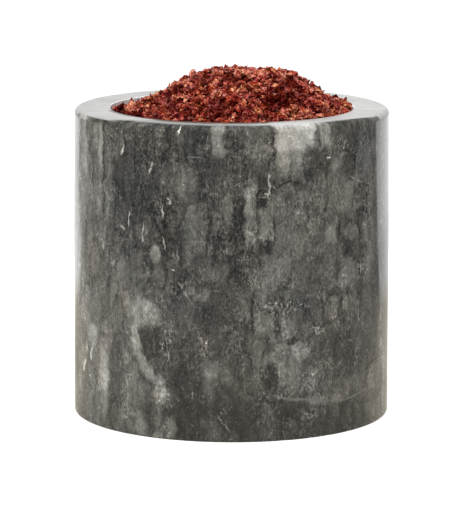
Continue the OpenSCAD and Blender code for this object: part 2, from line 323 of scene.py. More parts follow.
# Veins: grey level, width in millimetres and the points that each passes through.
VEINS = [
    (205, 0.8, [(-27.8, 68.4), (-28.2, 66.4)]),
    (120, 0.35, [(-28.2, 74.0), (-28.0, 68.0)]),
    (176, 0.55, [(-19.0, 65.2), (-19.6, 64.2), (-20.3, 62.3)]),
    (172, 0.6, [(-25.6, 53.2), (-25.8, 52.2), (-26.0, 49.5)]),
    (185, 0.6, [(-28.4, 49.7), (-27.1, 48.7)]),
    (172, 0.6, [(-21.6, 51.0), (-22.0, 48.0), (-21.6, 46.5)]),
    (165, 0.5, [(-15.6, 57.2), (-14.4, 56.6), (-14.8, 55.6)]),
    (178, 0.6, [(-16.4, 55.4), (-16.5, 52.3)]),
    (165, 0.5, [(-16.5, 48.0), (-15.8, 45.2)]),
    (225, 0.7, [(-12.2, 73.8), (-12.7, 72.2)]),
    (140, 0.3, [(-5.3, 72.0), (-5.9, 70.2), (-5.4, 69.6), (-6.0, 68.5)]),
    (130, 0.35, [(-10.5, 67.0), (-6.8, 66.8)]),
    (130, 0.3, [(-5.9, 62.0), (-5.2, 58.7)]),
    (168, 0.8, [(8.8, 63.0), (8.6, 61.5), (9.0, 60.0), (8.5, 57.8)]),
    (150, 0.4, [(9.8, 60.2), (10.4, 59.5)]),
    (140, 0.4, [(6.5, 57.8), (9.5, 57.5)]),
    (130, 0.3, [(0.0, 60.0), (1.8, 61.2)]),
    (130, 0.3, [(1.0, 43.1), (5.0, 43.4)]),
    (130, 0.35, [(-12.7, 46.0), (-12.6, 42.5)]),
    (190, 0.5, [(-13.9, 40.4), (-13.6, 40.3)]),
    (150, 0.4, [(-12.5, 37.5), (-11.2, 35.8), (-9.5, 33.2)]),
    (125, 0.3, [(-5.3, 47.0), (-5.3, 43.8)]),
    (140, 0.35, [(5.2, 34.5), (6.0, 31.5)]),
    (150, 0.5, [(19.5, 26.4), (20.8, 26.4), (21.0, 24.6), (23.3, 25.8)]),
    (150, 0.5, [(24.2, 22.7), (24.5, 22.5)]),
    (150, 0.5, [(31.4, 22.1), (31.7, 21.9)]),
    (150, 0.5, [(34.5, 30.0), (34.7, 25.6)]),
    (150, 0.5, [(40.0, 50.3), (38.0, 49.5), (37.0, 48.0), (37.0, 45.5), (38.5, 44.5), (40.0, 44.0)]),
    (176, 0.6, [(34.8, 39.2), (35.3, 39.6), (35.7, 38.8), (35.3, 38.0)]),
    (140, 0.5, [(31.0, 61.2), (33.0, 60.0), (37.0, 59.0)]),
    (140, 0.4, [(34.5, 62.2), (35.5, 62.2)]),
    (220, 0.8, [(24.0, 66.1), (24.6, 65.9)]),
    (112, 0.9, [
        (10.5, 10.8), (14.0, 9.8), (18.0, 9.5), (24.0, 8.3), (30.0, 8.0), (34.0, 8.5), (38.0, 9.3),
    ]),
    (130, 0.4, [(17.5, 6.0), (20.0, 5.6)]),
    (200, 0.9, [(-43.1, 20.0), (-43.0, 17.4)]),
    (205, 0.9, [(-40.2, 18.4), (-40.7, 17.0), (-40.5, 15.6)]),
    (225, 1.4, [(-43.9, 15.0), (-44.6, 13.8), (-45.2, 12.5)]),
    (170, 0.5, [(-42.5, 5.2), (-42.4, 4.6)]),
    (160, 0.5, [(-40.9, 2.2), (-40.7, 1.7)]),
    (135, 0.35, [(-3.0, 6.3), (-1.8, 4.6), (-0.3, 2.8)]),
    (150, 0.4, [(-2.2, 7.1), (-2.0, 6.8)]),
    (140, 0.35, [(-16.0, 26.0), (-15.4, 22.4), (-14.5, 18.0)]),
    (135, 0.35, [(-7.2, 25.0), (-6.5, 23.0)]),
    (135, 0.35, [(-7.0, 21.0), (-6.0, 20.0)]),
    (130, 0.35, [(-9.2, 12.0), (-9.0, 10.0)]),
    (150, 0.4, [(-14.5, 8.3), (-14.3, 8.1)]),
    (135, 0.35, [(11.2, 11.0), (11.3, 9.7)]),
]

# The half width of a painted vein as a share of its width, and the softness of its edge
VEIN_HALF_SHARE = 0.36
VEIN_SOFTNESS = 0.7

# Places where the stone is broken up by small bright fragments.
CRACKLE_PATCHES = [
    (12.0, 31.6, 7.4, 2.2, 0, 220, 0.7, 1.0),
    (21.0, 26.2, 2.4, 1.8, 0, 255, 0.7, 1.0),
    (29.0, 25.4, 2.2, 2.2, 0, 255, 0.7, 1.0),
    (28.6, 68.4, 2.6, 3.0, 0, 255, 0.7, 0.9),
    (38.0, 52.0, 2.8, 7.0, 0, 255, 0.8, 0.7),
    (35.6, 38.6, 1.8, 1.8, 0, 255, 0.7, 0.9),
    (-15.8, 23.6, 1.8, 4.4, 0, 255, 0.7, 0.9),
    (-6.6, 23.0, 1.5, 3.6, 0, 230, 0.7, 0.9),
    (19.6, 6.0, 2.6, 1.4, 0, 255, 0.7, 1.0),
    (19.0, 14.4, 1.6, 2.6, 0, 230, 0.7, 0.8),
    (-42.0, 12.0, 3.4, 8.0, 0, 230, 0.8, 0.6),
    (-12.0, 36.6, 2.6, 3.4, 0, 230, 0.7, 0.7),
    (-16.6, 55.0, 1.8, 4.0, 0, 230, 0.8, 0.7),
    (-29.0, 57.2, 2.0, 1.4, 0, 255, 0.7, 0.9),
    (8.6, 58.6, 2.0, 1.0, 0, 255, 0.7, 0.9),
    (5.0, 37.6, 3.0, 0.9, 0, 255, 0.7, 0.8),
    (-2.0, 6.0, 3.4, 3.0, 0, 210, 0.8, 0.5),
]

# Clusters in the heap: place from left to right and from front to back in millimetres, half
# widths both ways, and how far the flakes there lean to the bright kinds or to the dark ones. The
# leans are partly the flakes' own colour and partly painted light and painted shade; the dark ones
# also lie in hollows.
CLUSTERS = [
    (6.2, -2.4, 4.2, 3.8, 1.4),
    (-13.0, 1.5, 2.4, 4.0, 1.3),
    (1.0, -15.0, 3.2, 2.4, 1.0),
    (-15.5, -18.7, 2.4, 2.2, 0.6),
    (-5.0, -23.8, 3.6, 2.0, -0.6),
    (7.9, -24.5, 2.8, 2.6, 0.4),
    (-25.1, -1.6, 2.4, 5.0, 1.4),
    (13.5, -23.1, 3.0, 2.0, 0.8),
    (-17.8, 1.0, 2.2, 3.5, 0.7),
    (22.5, -2.5, 2.4, 3.0, 0.6),
    (18.1, -18.7, 2.2, 2.4, 0.8),
    (-6.5, -14.0, 3.0, 2.6, -0.2),
    (18.2, -0.5, 2.6, 4.0, 0.9),
    (8.0, -16.8, 2.4, 2.2, -1.0),
    (1.0, -8.6, 2.4, 3.0, -1.3),
    (13.0, -14.6, 4.2, 4.8, -1.1),
    (13.6, -8.0, 3.2, 3.0, -0.7),
    (-2.4, -19.4, 3.6, 1.6, -1.0),
    (-6.0, -4.2, 2.8, 3.0, -0.5),
    (-15.5, -7.5, 3.4, 2.6, -0.7),
    (3.0, 14.0, 5.0, 4.0, -0.9),
    (-12.0, 15.0, 4.0, 4.0, 0.8),
    (15.0, 16.0, 4.0, 4.0, 0.7),
    (-20.0, 8.0, 4.0, 4.0, -0.8),
    (-2.0, 22.0, 4.0, 3.0, 0.8),
]

# Places, given in the same way, where the flakes lean in colour but the heap keeps its height:
# painted light and painted shade, set against how the heap's own shading falls there.
COLOUR_AND_LIGHT_LEANS = [
    (-4.8, 1.5, 3.2, 3.0, 1.6),
    (8.0, -12.5, 2.6, 2.4, 1.3),
    (7.5, 1.8, 2.4, 2.4, 0.8),
    (12.8, 0.5, 2.4, 3.0, 0.9),
    (22.5, -1.5, 2.6, 3.4, 0.5),
    (16.5, -15.8, 2.2, 2.4, -0.7),
    (-0.5, -26.2, 2.8, 1.6, -0.8),
    (5.4, -26.0, 2.4, 1.6, -0.8),
    (-3.0, -8.6, 2.6, 2.6, -0.5),
    (-20.5, -7.0, 2.0, 3.0, -0.4),
    (19.5, -19.0, 2.6, 2.6, 0.6),
    (15.0, -22.8, 3.0, 2.0, 0.8),
    (-15.0, -17.5, 3.0, 3.0, -0.6),
    (-6.0, -17.0, 2.6, 3.0, 0.5),
    (3.5, -16.5, 2.0, 1.6, -0.4),
    (-23.0, -9.0, 2.0, 2.4, 0.4),
]

# The flakes close to the front left lip are given dark kinds, a painted shade of the lip: from and to
# which angle in degrees, counted from the right, outside which radius, above which height, and how
# far they lean to the dark kinds.
LIP_SHADE_FROM = 176.0
LIP_SHADE_TO = 229.0
LIP_SHADE_RADIUS = 25.8 * MM
LIP_SHADE_HEIGHT = 71 * MM
LIP_SHADE = 2.2

# Height where the top of the heap begins, a little below the rim
HEAP_TOP = 72 * MM

# A flake's kind is drawn as a lot from 0 to 1. Each kind takes the lots up to its own limit, and
# the rest are pale seeds.
DARK_TO = 0.28
RED_TO = 0.74
ORANGE_TO = 0.993
# The lot of a plain red skin, and the highest lot that a lean can lead to
RED_LOT = 0.5
HIGHEST_LEAN_LOT = 0.992
# How far a lean of one moves a flake's lot and its tint
LOT_LEAN = 0.55
TINT_LEAN = 0.4

# Grey levels of the stone and the colour that each shows as.
STONE_RAMP = [
    (0, (15, 14, 13)),
    (50, (50, 50, 49)),
    (75, (75, 74, 71)),
    (100, (100, 99, 95)),
    (130, (130, 128, 123)),
    (165, (165, 163, 158)),
    (205, (205, 203, 198)),
    (255, (247, 245, 242)),
]

# Tints that the stone's colour is multiplied by
COOL_STONE = (0.95, 0.975, 1.01, 1.0)
WARM_STONE = (1.01, 0.96, 0.86, 1.0)
RIM_TINT = (0.955, 0.98, 1.015, 1.0)
# The cool tint of the painted reflection inside the mouth
MOUTH_REFLECTION_TINT = (1.0, 1.06, 1.09, 1.0)
# The red tint of the painted shadow and reflection of the flakes along the lip
LIP_SHADOW_REFLECTION_TINT = (1.0, 0.72, 0.68, 1.0)

# Where parts of the stone fade in, in millimetres: from none of it to all of it. The first
# three are places round the wall, the next three radii and the last four heights. The rim's width
# is from its inner to its outer radius.
FRONT = (52.0, 40.0)
LEFT_END = (-49.0, -54.0)
RIGHT_END = (44.2, 45.4)
OUTSIDE = (34.0, 37.0)
RIM_WIDTH = (30.0, 38.0)
IN_BOWL = (29.5, 29.3)
RIM_TOP = (73.5, 73.85)
ON_TOP = (72.4, 72.9)
NEAR_MOUTH = (64.0, 70.0)
FOOT = (32.0, 14.0)
# The tone that the added contrast near the foot leaves as it is
MIDDLE_TONE = 0.42


def linear(level):
    """The linear value of one display level from 0 to 255."""
    share = level / 255
    if share <= 0.04045:
        return share / 12.92
    return ((share + 0.055) / 1.055) ** 2.4


def colour(red, green, blue):
    """A node colour from display levels."""
    return (linear(red), linear(green), linear(blue), 1.0)


class NodeKit:
    """Adds nodes to one tree and joins them up."""

    def __init__(self, tree):
        self.tree = tree

    def add(self, kind, feeds=None, **settings):
        node = self.tree.nodes.new(kind)
        for name, value in settings.items():
            setattr(node, name, value)
        for socket, value in (feeds or {}).items():
            self.feed(node.inputs[socket], value)
        return node

    def feed(self, socket, value):
        if isinstance(value, bpy.types.NodeSocket):
            self.tree.links.new(value, socket)
        else:
            socket.default_value = value

    def math(self, operation, *values, clamp=False):
        feeds = dict(enumerate(values))
        return self.add("ShaderNodeMath", feeds, operation=operation, use_clamp=clamp).outputs[0]

    def times(self, first, second):
        return self.math("MULTIPLY", first, second)

    def vector(self, operation, *values):
        node = self.add("ShaderNodeVectorMath", dict(enumerate(values)), operation=operation)
        return node.outputs["Value" if operation == "LENGTH" else "Vector"]

    def scaled(self, vector, amount):
        feeds = {"Vector": vector, "Scale": amount}
        return self.add("ShaderNodeVectorMath", feeds, operation="SCALE").outputs["Vector"]

    def stretched(self, vector, scale):
        return self.add("ShaderNodeMapping", {"Vector": vector, "Scale": scale}).outputs[0]

    def parts(self, vector):
        return self.add("ShaderNodeSeparateXYZ", {0: vector}).outputs

    def noise(self, vector, scale, detail=2.0, roughness=0.5, output="Fac"):
        feeds = {"Vector": vector, "Scale": scale, "Detail": detail, "Roughness": roughness}
        return self.add("ShaderNodeTexNoise", feeds).outputs[output]

    def round_axis(self, x, y):
        """The angle round the upright axis, from the front to the right, and the distance from it."""
        angle = self.math("ARCTAN2", x, self.times(y, -1.0))
        flat = self.add("ShaderNodeCombineXYZ", {0: x, 1: y}).outputs[0]
        return angle, self.vector("LENGTH", flat)

    def swirl(self, vector, scale):
        """A vector of noise, with parts from -0.5 to 0.5."""
        colours = self.noise(vector, scale, 2.0, output="Color")
        return self.vector("SUBTRACT", colours, (0.5, 0.5, 0.5))

    def cells(self, vector, scale):
        """The outputs of a pattern of cells."""
        return self.add("ShaderNodeTexVoronoi", {"Vector": vector, "Scale": scale}).outputs

    def cell_lot(self, cells):
        """A value of its own for each cell."""
        return self.parts(cells["Color"])["X"]

    def seams(self, vector, scale):
        """The distance from the nearest seam between the same cells."""
        feeds = {"Vector": vector, "Scale": scale}
        return self.add("ShaderNodeTexVoronoi", feeds, feature="DISTANCE_TO_EDGE").outputs["Distance"]

    def apart(self, first, second):
        """How far two values are from each other."""
        return self.math("ABSOLUTE", self.math("SUBTRACT", first, second))

    def spread(self, value, low, high, to_low=0.0, to_high=1.0, shape="SMOOTHSTEP"):
        feeds = {"Value": value, "From Min": low, "From Max": high, "To Min": to_low, "To Max": to_high}
        return self.add("ShaderNodeMapRange", feeds, interpolation_type=shape).outputs["Result"]

    def mix(self, share, first, second):
        feeds = {0: share, 2: first, 3: second}
        return self.add("ShaderNodeMix", feeds, data_type="FLOAT").outputs[0]

    def mix_colour(self, share, first, second, blend="MIX"):
        feeds = {0: share, 6: first, 7: second}
        return self.add("ShaderNodeMix", feeds, data_type="RGBA", blend_type=blend).outputs[2]

    def grey(self, value):
        return self.add("ShaderNodeCombineColor", {0: value, 1: value, 2: value}).outputs[0]

    def bump(self, height, distance, strength):
        feeds = {"Height": height, "Distance": distance, "Strength": strength}
        return self.add("ShaderNodeBump", feeds).outputs[0]

    def ramp(self, value, stops):
        node = self.add("ShaderNodeValToRGB", {"Fac": value})
        elements = node.color_ramp.elements
        elements[0].position, elements[0].color = stops[0]
        elements[-1].position, elements[-1].color = stops[-1]
        for place, shade in stops[1:-1]:
            elements.new(place).color = shade
        return node.outputs["Color"]


def new_group(name, inputs, outputs):
    """A shader node group with the named sockets.

    Returns the tree, its kit, its inputs and its output node."""
    tree = bpy.data.node_groups.new(name, "ShaderNodeTree")
    for label, kind in inputs:
        tree.interface.new_socket(name=label, in_out="INPUT", socket_type=f"NodeSocket{kind}")
    for label, kind in outputs:
        tree.interface.new_socket(name=label, in_out="OUTPUT", socket_type=f"NodeSocket{kind}")
    kit = NodeKit(tree)
    return tree, kit, kit.add("NodeGroupInput").outputs, kit.add("NodeGroupOutput")


def new_material(name):
    """A material with nodes."""
    material = bpy.data.materials.new(name)
    material.use_nodes = True
    tree = material.node_tree
    return material, NodeKit(tree), tree.nodes["Principled BSDF"]


def patch_group(name, square):
    """A group that paints one patch of the stone over the tone so far.

    The painted vector holds the place round the wall, the height and the tone."""
    sockets = [
        ("Painted", "Vector"), ("Centre", "Vector"), ("Half Size", "Vector"), ("Turn", "Vector"),
        ("Level", "Vector"), ("Core", "Float"), ("Strength", "Float"),
    ]
    tree, kit, given, made = new_group(name, sockets, [("Painted", "Vector")])
    feeds = {"Vector": given["Painted"], "Location": given["Centre"], "Rotation": given["Turn"],
             "Scale": given["Half Size"]}
    local = kit.add("ShaderNodeMapping", feeds, vector_type="TEXTURE").outputs["Vector"]
    if square:
        parts = kit.parts(kit.vector("ABSOLUTE", local))
        reach = kit.math("MAXIMUM", parts["X"], parts["Y"])
    else:
        reach = kit.vector("LENGTH", local)
    mask = kit.spread(reach, 1.0, given["Core"], 0.0, given["Strength"])
    tone_only = kit.add("ShaderNodeCombineXYZ", {2: mask}).outputs[0]
    feeds = {1: tone_only, 4: given["Painted"], 5: given["Level"]}
    painted = kit.add("ShaderNodeMix", feeds, data_type="VECTOR", factor_mode="NON_UNIFORM").outputs[1]
    kit.feed(made.inputs["Painted"], painted)
    return tree


def paint_patches(kit, group, tone, face, patches):
    """Chains one group node for each patch and returns the last tone."""
    sides = kit.parts(face)
    painted = kit.add("ShaderNodeCombineXYZ", {0: sides["X"], 1: sides["Y"], 2: tone}).outputs[0]
    for place, height, half_width, half_height, turn, level, softness, strength in patches:
        spill = 1 + SOFT_SPILL * softness
        feeds = {
            "Painted": painted,
            "Centre": (place, height, 0.0),
            "Half Size": (half_width * spill, half_height * spill, TONE_LEFT_OUT),
            "Turn": (0.0, 0.0, math.radians(turn)),
            "Level": (0.0, 0.0, level / 255),
            "Core": 1.0 - softness,
            "Strength": strength,
        }
        painted = kit.add("ShaderNodeGroup", feeds, node_tree=group).outputs["Painted"]
    return kit.parts(painted)["Z"]


def vein_patches():
    """Every stretch of a vein as one long thin patch."""
    patches = []
    for level, width, points in VEINS:
        for (u_a, z_a), (u_b, z_b) in zip(points, points[1:]):
            half_length = math.hypot(u_b - u_a, z_b - z_a) / 2 + width / 2
            turn = math.degrees(math.atan2(z_b - z_a, u_b - u_a))
            middle = ((u_a + u_b) / 2, (z_a + z_b) / 2)
            half_size = (half_length, VEIN_HALF_SHARE * width)
            patches.append((*middle, *half_size, turn, level, VEIN_SOFTNESS, 1.0))
    return patches


def stone_places(kit, outer_radius):
    """The places that the stone's pattern is laid out by, in millimetres."""
    at = SimpleNamespace()
    where = kit.add("ShaderNodeTexCoord").outputs["Object"]
    at.place = kit.scaled(where, 1 / MM)
    parts = kit.parts(at.place)
    at.x, at.y, at.height = parts["X"], parts["Y"], parts["Z"]
    angle, at.radius = kit.round_axis(at.x, at.y)
    at.around = kit.times(angle, outer_radius / MM)
    at.face = kit.add("ShaderNodeCombineXYZ", {0: at.around, 1: at.height}).outputs[0]

    # Places are shifted a little, so that no patch keeps a plain outline
    broad = kit.swirl(at.place, 0.3)
    at.fine = kit.swirl(at.place, 1.3)
    warped = kit.vector("ADD", at.face, kit.scaled(broad, 2.4))
    at.warped = kit.vector("ADD", warped, kit.scaled(at.fine, 0.7))
    at.kinked = kit.vector("ADD", at.face, kit.scaled(at.fine, 1.3))

    # The stone's own pattern is drawn out upright. It is calm on the front, where it is painted.
    at.tall = kit.vector("MULTIPLY", at.place, (1.0, 1.0, 0.5))
    at.stirred = kit.vector("ADD", at.tall, kit.scaled(broad, 3.0))
    at.cloud = kit.noise(at.tall, 0.07, 3.0, 0.55)
    front = kit.spread(kit.math("ABSOLUTE", at.around), *FRONT)
    at.calm = kit.times(front, kit.spread(at.radius, *OUTSIDE))
    return at


def painted_tone(kit, at, round_patch):
    """The tone of the stone before its small marks, with the painted places of the front."""
    range_low = kit.mix(at.calm, 0.10, 0.27)
    range_high = kit.mix(at.calm, 0.70, 0.41)
    tone = kit.spread(at.cloud, 0.3, 0.7, range_low, range_high, "LINEAR")
    tone = paint_patches(kit, round_patch, tone, at.warped, CLOUD_PATCHES)
    tone = paint_patches(kit, round_patch, tone, at.warped, PEBBLE_PATCHES)
    band_patch = patch_group("stone_band", True)
    return paint_patches(kit, band_patch, tone, at.warped, BAND_PATCHES)


def stir_in(kit, tone, field, amount):
    """The tone with a field of noise stirred in."""
    return kit.math("MULTIPLY_ADD", kit.math("SUBTRACT", field, 0.5), amount, tone)


def grained(kit, at, tone, round_patch):
    """Adds mottling, upright streaks, scratches and flecks. Returns the tone and the scratches."""
    tone = stir_in(kit, tone, kit.noise(at.stirred, 0.16, 3.0, 0.5), kit.mix(at.calm, 0.34, 0.14))
    tone = stir_in(kit, tone, kit.noise(at.stirred, 0.55, 2.0, 0.5), kit.mix(at.calm, 0.28, 0.20))

    # Fine grain is coarse in some places and nearly gone in others
    usual = kit.spread(kit.noise(at.place, 0.14, 2.0), 0.46, 0.64, 0.12, 0.6)
    grain = paint_patches(kit, round_patch, usual, at.warped, GRAIN_PATCHES)

    # Upright streaks are stronger near the rim
    ribbed = kit.stretched(at.warped, (1.0, 0.07, 1.0))
    streak = kit.noise(ribbed, 0.9, 3.0, 0.65)
    streak_amount = kit.spread(at.height, 30.0, 66.0, 0.06, 0.32)
    streak_amount = kit.times(streak_amount, kit.spread(grain, 0.05, 0.2, 0.45, 1.0))
    tone = stir_in(kit, tone, streak, streak_amount)

    scratch_place = kit.stretched(at.face, (1.0, 0.5, 1.0))
    scratch = kit.noise(scratch_place, 1.8, 3.0, 0.75)
    tone = stir_in(kit, tone, scratch, kit.spread(grain, 0.0, 1.0, 0.24, 1.1, "LINEAR"))
    specks = kit.noise(scratch_place, 3.2, 1.0, 0.5)
    tone = stir_in(kit, tone, specks, 0.2)
    fleck = kit.spread(specks, 0.60, 0.74)
    tone = kit.math("MULTIPLY_ADD", kit.times(fleck, grain), 0.2, tone)
    return tone, scratch


def with_shards(kit, at, tone):
    """Adds rounded grains of broken stone, each of its own tone, with darker seams between them."""
    own = kit.cell_lot(kit.cells(at.stirred, 0.24))
    seams = kit.seams(at.stirred, 0.24)
    tone = stir_in(kit, tone, kit.times(own, kit.spread(seams, 0.0, 0.25)), 0.07)
    return kit.math("MULTIPLY_ADD", kit.spread(seams, 0.10, 0.0), -0.035, tone)


def veined(kit, at, tone, round_patch):
    """Adds soft wisps, hairlines and the painted veins of the front."""
    # Long soft wisps along the levels of a smooth noise
    for scale, level, amount in ((0.17, 0.5, 0.09), (0.3, 0.45, 0.07)):
        amount = kit.mix(at.calm, amount * 2, amount)
        off_level = kit.apart(kit.noise(at.stirred, scale, 1.0, 0.5), level)
        wisp = kit.times(kit.spread(off_level, 0.022, 0.0), kit.spread(at.cloud, 0.42, 0.56))
        tone = kit.math("MULTIPLY_ADD", wisp, amount, tone)

    # Hairlines where one level of a noise is crossed, pale in some places and dark in others
    hair = kit.spread(kit.apart(kit.noise(at.stirred, 0.22, 5.0, 0.7), 0.5), 0.012, 0.002)
    gate = kit.noise(at.place, 0.35, 3.0)
    pale_hair = kit.mix(at.calm, 0.5, 0.2)
    dark_hair = -0.12
    for none, full, amount in ((0.52, 0.62, pale_hair), (0.46, 0.38, dark_hair)):
        shown = kit.times(hair, kit.spread(gate, none, full))
        tone = kit.math("MULTIPLY_ADD", shown, amount, tone)

    return paint_patches(kit, round_patch, tone, at.kinked, vein_patches())


def crackled(kit, at, tone, round_patch):
    """Adds small bright fragments and dots, and a little more contrast near the foot."""
    crackle = paint_patches(kit, round_patch, 0.0, at.warped, CRACKLE_PATCHES)
    crackle = kit.math("MAXIMUM", crackle, kit.mix(at.calm, 0.6, 0.12))
    broken = kit.vector("ADD", at.place, kit.scaled(at.fine, 1.6))
    line = kit.spread(kit.seams(broken, 0.6), 0.09, 0.0)
    bits = kit.times(line, kit.spread(kit.noise(at.place, 0.9, 2.0), 0.50, 0.62))
    tone = kit.math("MULTIPLY_ADD", kit.times(bits, crackle), 0.42, tone)

    cells = kit.cells(at.place, 0.9)
    chosen = kit.spread(kit.cell_lot(cells), 0.84, 0.9)
    dots = kit.times(kit.spread(cells["Distance"], 0.22, 0.1), chosen)
    tone = kit.math("MULTIPLY_ADD", dots, 0.22, tone)

    added = kit.spread(at.height, *FOOT, 0.0, 0.12)
    return kit.math("MULTIPLY_ADD", kit.math("SUBTRACT", tone, MIDDLE_TONE), added, tone)


def rim_masks(kit, at):
    """Where the stone is the flat rim, the bowl, the painted highlight line along the front of the rim,
    and so on.
    """
    on = SimpleNamespace()
    over_edge = kit.math("MAXIMUM", kit.spread(at.around, *LEFT_END), kit.spread(at.around, *RIGHT_END))
    on.rim = kit.spread(kit.math("ADD", at.height, over_edge), *RIM_TOP)
    on.bowl = kit.spread(at.radius, *IN_BOWL)
    # Near the mouth the bowl's wall is painted pale and cool: a painted reflection that also lifts the
    # shade it lies in
    on.mouth = kit.times(on.bowl, kit.spread(at.height, *NEAR_MOUTH))

    # The rim is pale at its sides and back: the honed stone's paler tone and a painted reflection of the
    # white surroundings. Along the front the pale part is a narrow line, a painted highlight.
    left_start = kit.spread(at.radius, *RIM_WIDTH, -23.0, -33.0, "LINEAR")
    left_limit = kit.spread(kit.math("SUBTRACT", at.around, left_start), 2.5, -2.5)
    right_start = kit.spread(at.radius, *RIM_WIDTH, 10.0, 44.0, "LINEAR")
    right_limit = kit.spread(kit.math("SUBTRACT", at.around, right_start), -1.5, 2.0)
    aside = kit.math("MAXIMUM", left_limit, right_limit)
    on.pale_side = kit.times(aside, on.rim)
    ahead = kit.times(kit.math("SUBTRACT", 1.0, aside), on.rim)
    narrow = kit.times(kit.spread(at.radius, 30.4, 32.6), kit.spread(at.radius, 36.8, 33.2))
    on.front_line = kit.times(narrow, ahead)

    # The lip, painted as a dark red shadow and reflection of the flakes, and a painted shadow along the
    # mouth on the left
    on.lip = kit.times(kit.spread(at.radius, 31.6, 30.2), ahead)
    beside = kit.spread(kit.math("ABSOLUTE", kit.math("ADD", at.around, 36.0)), 16.0, 11.0)
    on.stain = kit.times(kit.times(beside, on.rim), kit.spread(at.radius, 30.7, 30.1))

    # Everything on top, and the part of it that doesn't shine
    on.top = kit.times(kit.spread(at.height, *ON_TOP), kit.spread(at.radius, 29.1, 29.4))
    at_ends = kit.spread(kit.math("ABSOLUTE", at.around), 40.0, 44.0)
    shiny = kit.math("MAXIMUM", on.pale_side, at_ends)
    on.dull = kit.times(on.top, kit.math("SUBTRACT", 1.0, shiny))
    # At the sides the rim's outer rounding is painted darker: painted shade against the light it catches
    on.rounding = kit.times(kit.times(on.dull, aside), kit.spread(at.radius, 36.2, 36.7))
    on.honed = kit.math("MAXIMUM", on.top, on.bowl)
    return on


def honed_tone(kit, at, on, tone):
    """The tone with the honed rim and bowl laid over the stone's own, and the painted reflection,
    highlight and shade of the rim and the mouth.
    """
    drawn = kit.stretched(at.place, (0.25, 1.0, 1.0))
    honed = kit.spread(kit.noise(drawn, 0.6, 3.0, 0.6), 0.3, 0.7, 0.64, 0.76, "LINEAR")
    slant = kit.math("MULTIPLY_ADD", at.y, -0.7, at.x)
    honed = kit.math("ADD", honed, kit.spread(slant, -35.0, 10.0, -0.045, 0.0))
    line_tone = kit.spread(at.around, 2.0, 12.0, 0.62, 0.76)
    # Painted reflection on the rim's sides and in the mouth, a painted highlight line along the front,
    # and painted shadow on the lip
    layers = [
        (kit.times(on.pale_side, 0.93), honed),
        (kit.times(on.bowl, 0.7), honed),
        (on.mouth, 0.95),
        (on.front_line, line_tone),
        (on.lip, 0.40),
        (on.stain, 0.2),
    ]
    for share, layer in layers:
        tone = kit.mix(share, tone, layer)
    # Painted shade on the rim's rounding at the sides
    return kit.math("MULTIPLY_ADD", on.rounding, -0.12, tone)


def stone_tint(kit, at, on, round_patch):
    """How warm or cool the stone's grey is, with the painted tints at the mouth and the lip."""
    warmth = kit.spread(kit.noise(at.tall, 0.09, 2.0), 0.3, 0.7, 0.25, 0.75, "LINEAR")
    warmth = paint_patches(kit, round_patch, warmth, at.warped, WARM_PATCHES)
    tint = kit.mix_colour(warmth, COOL_STONE, WARM_STONE)
    tint = kit.mix_colour(on.rim, tint, RIM_TINT)
    tint = kit.mix_colour(on.mouth, tint, MOUTH_REFLECTION_TINT)
    return kit.mix_colour(kit.math("MAXIMUM", on.lip, on.stain), tint, LIP_SHADOW_REFLECTION_TINT)


def marble_material(settings):
    """Polished grey marble, with clouds, bands, pebbles and veins at their places on the front."""
    material, kit, shader = new_material("polished_marble")
    at = stone_places(kit, settings.outer_radius)
    round_patch = patch_group("stone_patch", False)
    tone = painted_tone(kit, at, round_patch)
    tone, scratch = grained(kit, at, tone, round_patch)
    tone = with_shards(kit, at, tone)
    tone = veined(kit, at, tone, round_patch)
    tone = crackled(kit, at, tone, round_patch)
    on = rim_masks(kit, at)
    tone = honed_tone(kit, at, on, tone)

    shade = kit.ramp(tone, [(level / 255, colour(*shown)) for level, shown in STONE_RAMP])
    shade = kit.mix_colour(1.0, shade, stone_tint(kit, at, on, round_patch), "MULTIPLY")
    kit.feed(shader.inputs["Base Color"], shade)
    polish = kit.spread(scratch, 0.25, 0.75, 0.07, 0.17, "LINEAR")
    kit.feed(shader.inputs["Roughness"], kit.mix(on.honed, polish, 0.35))
    kit.feed(shader.inputs["Specular IOR Level"], kit.mix(on.dull, 0.5, 0.0))
    kit.feed(shader.inputs["Coat Weight"], kit.mix(on.honed, 0.6, 0.0))
    shader.inputs["Coat Roughness"].default_value = 0.06
    kit.feed(shader.inputs["Normal"], kit.bump(scratch, 0.03 * MM, 0.3))
    shader.inputs["IOR"].default_value = 1.55
    return material


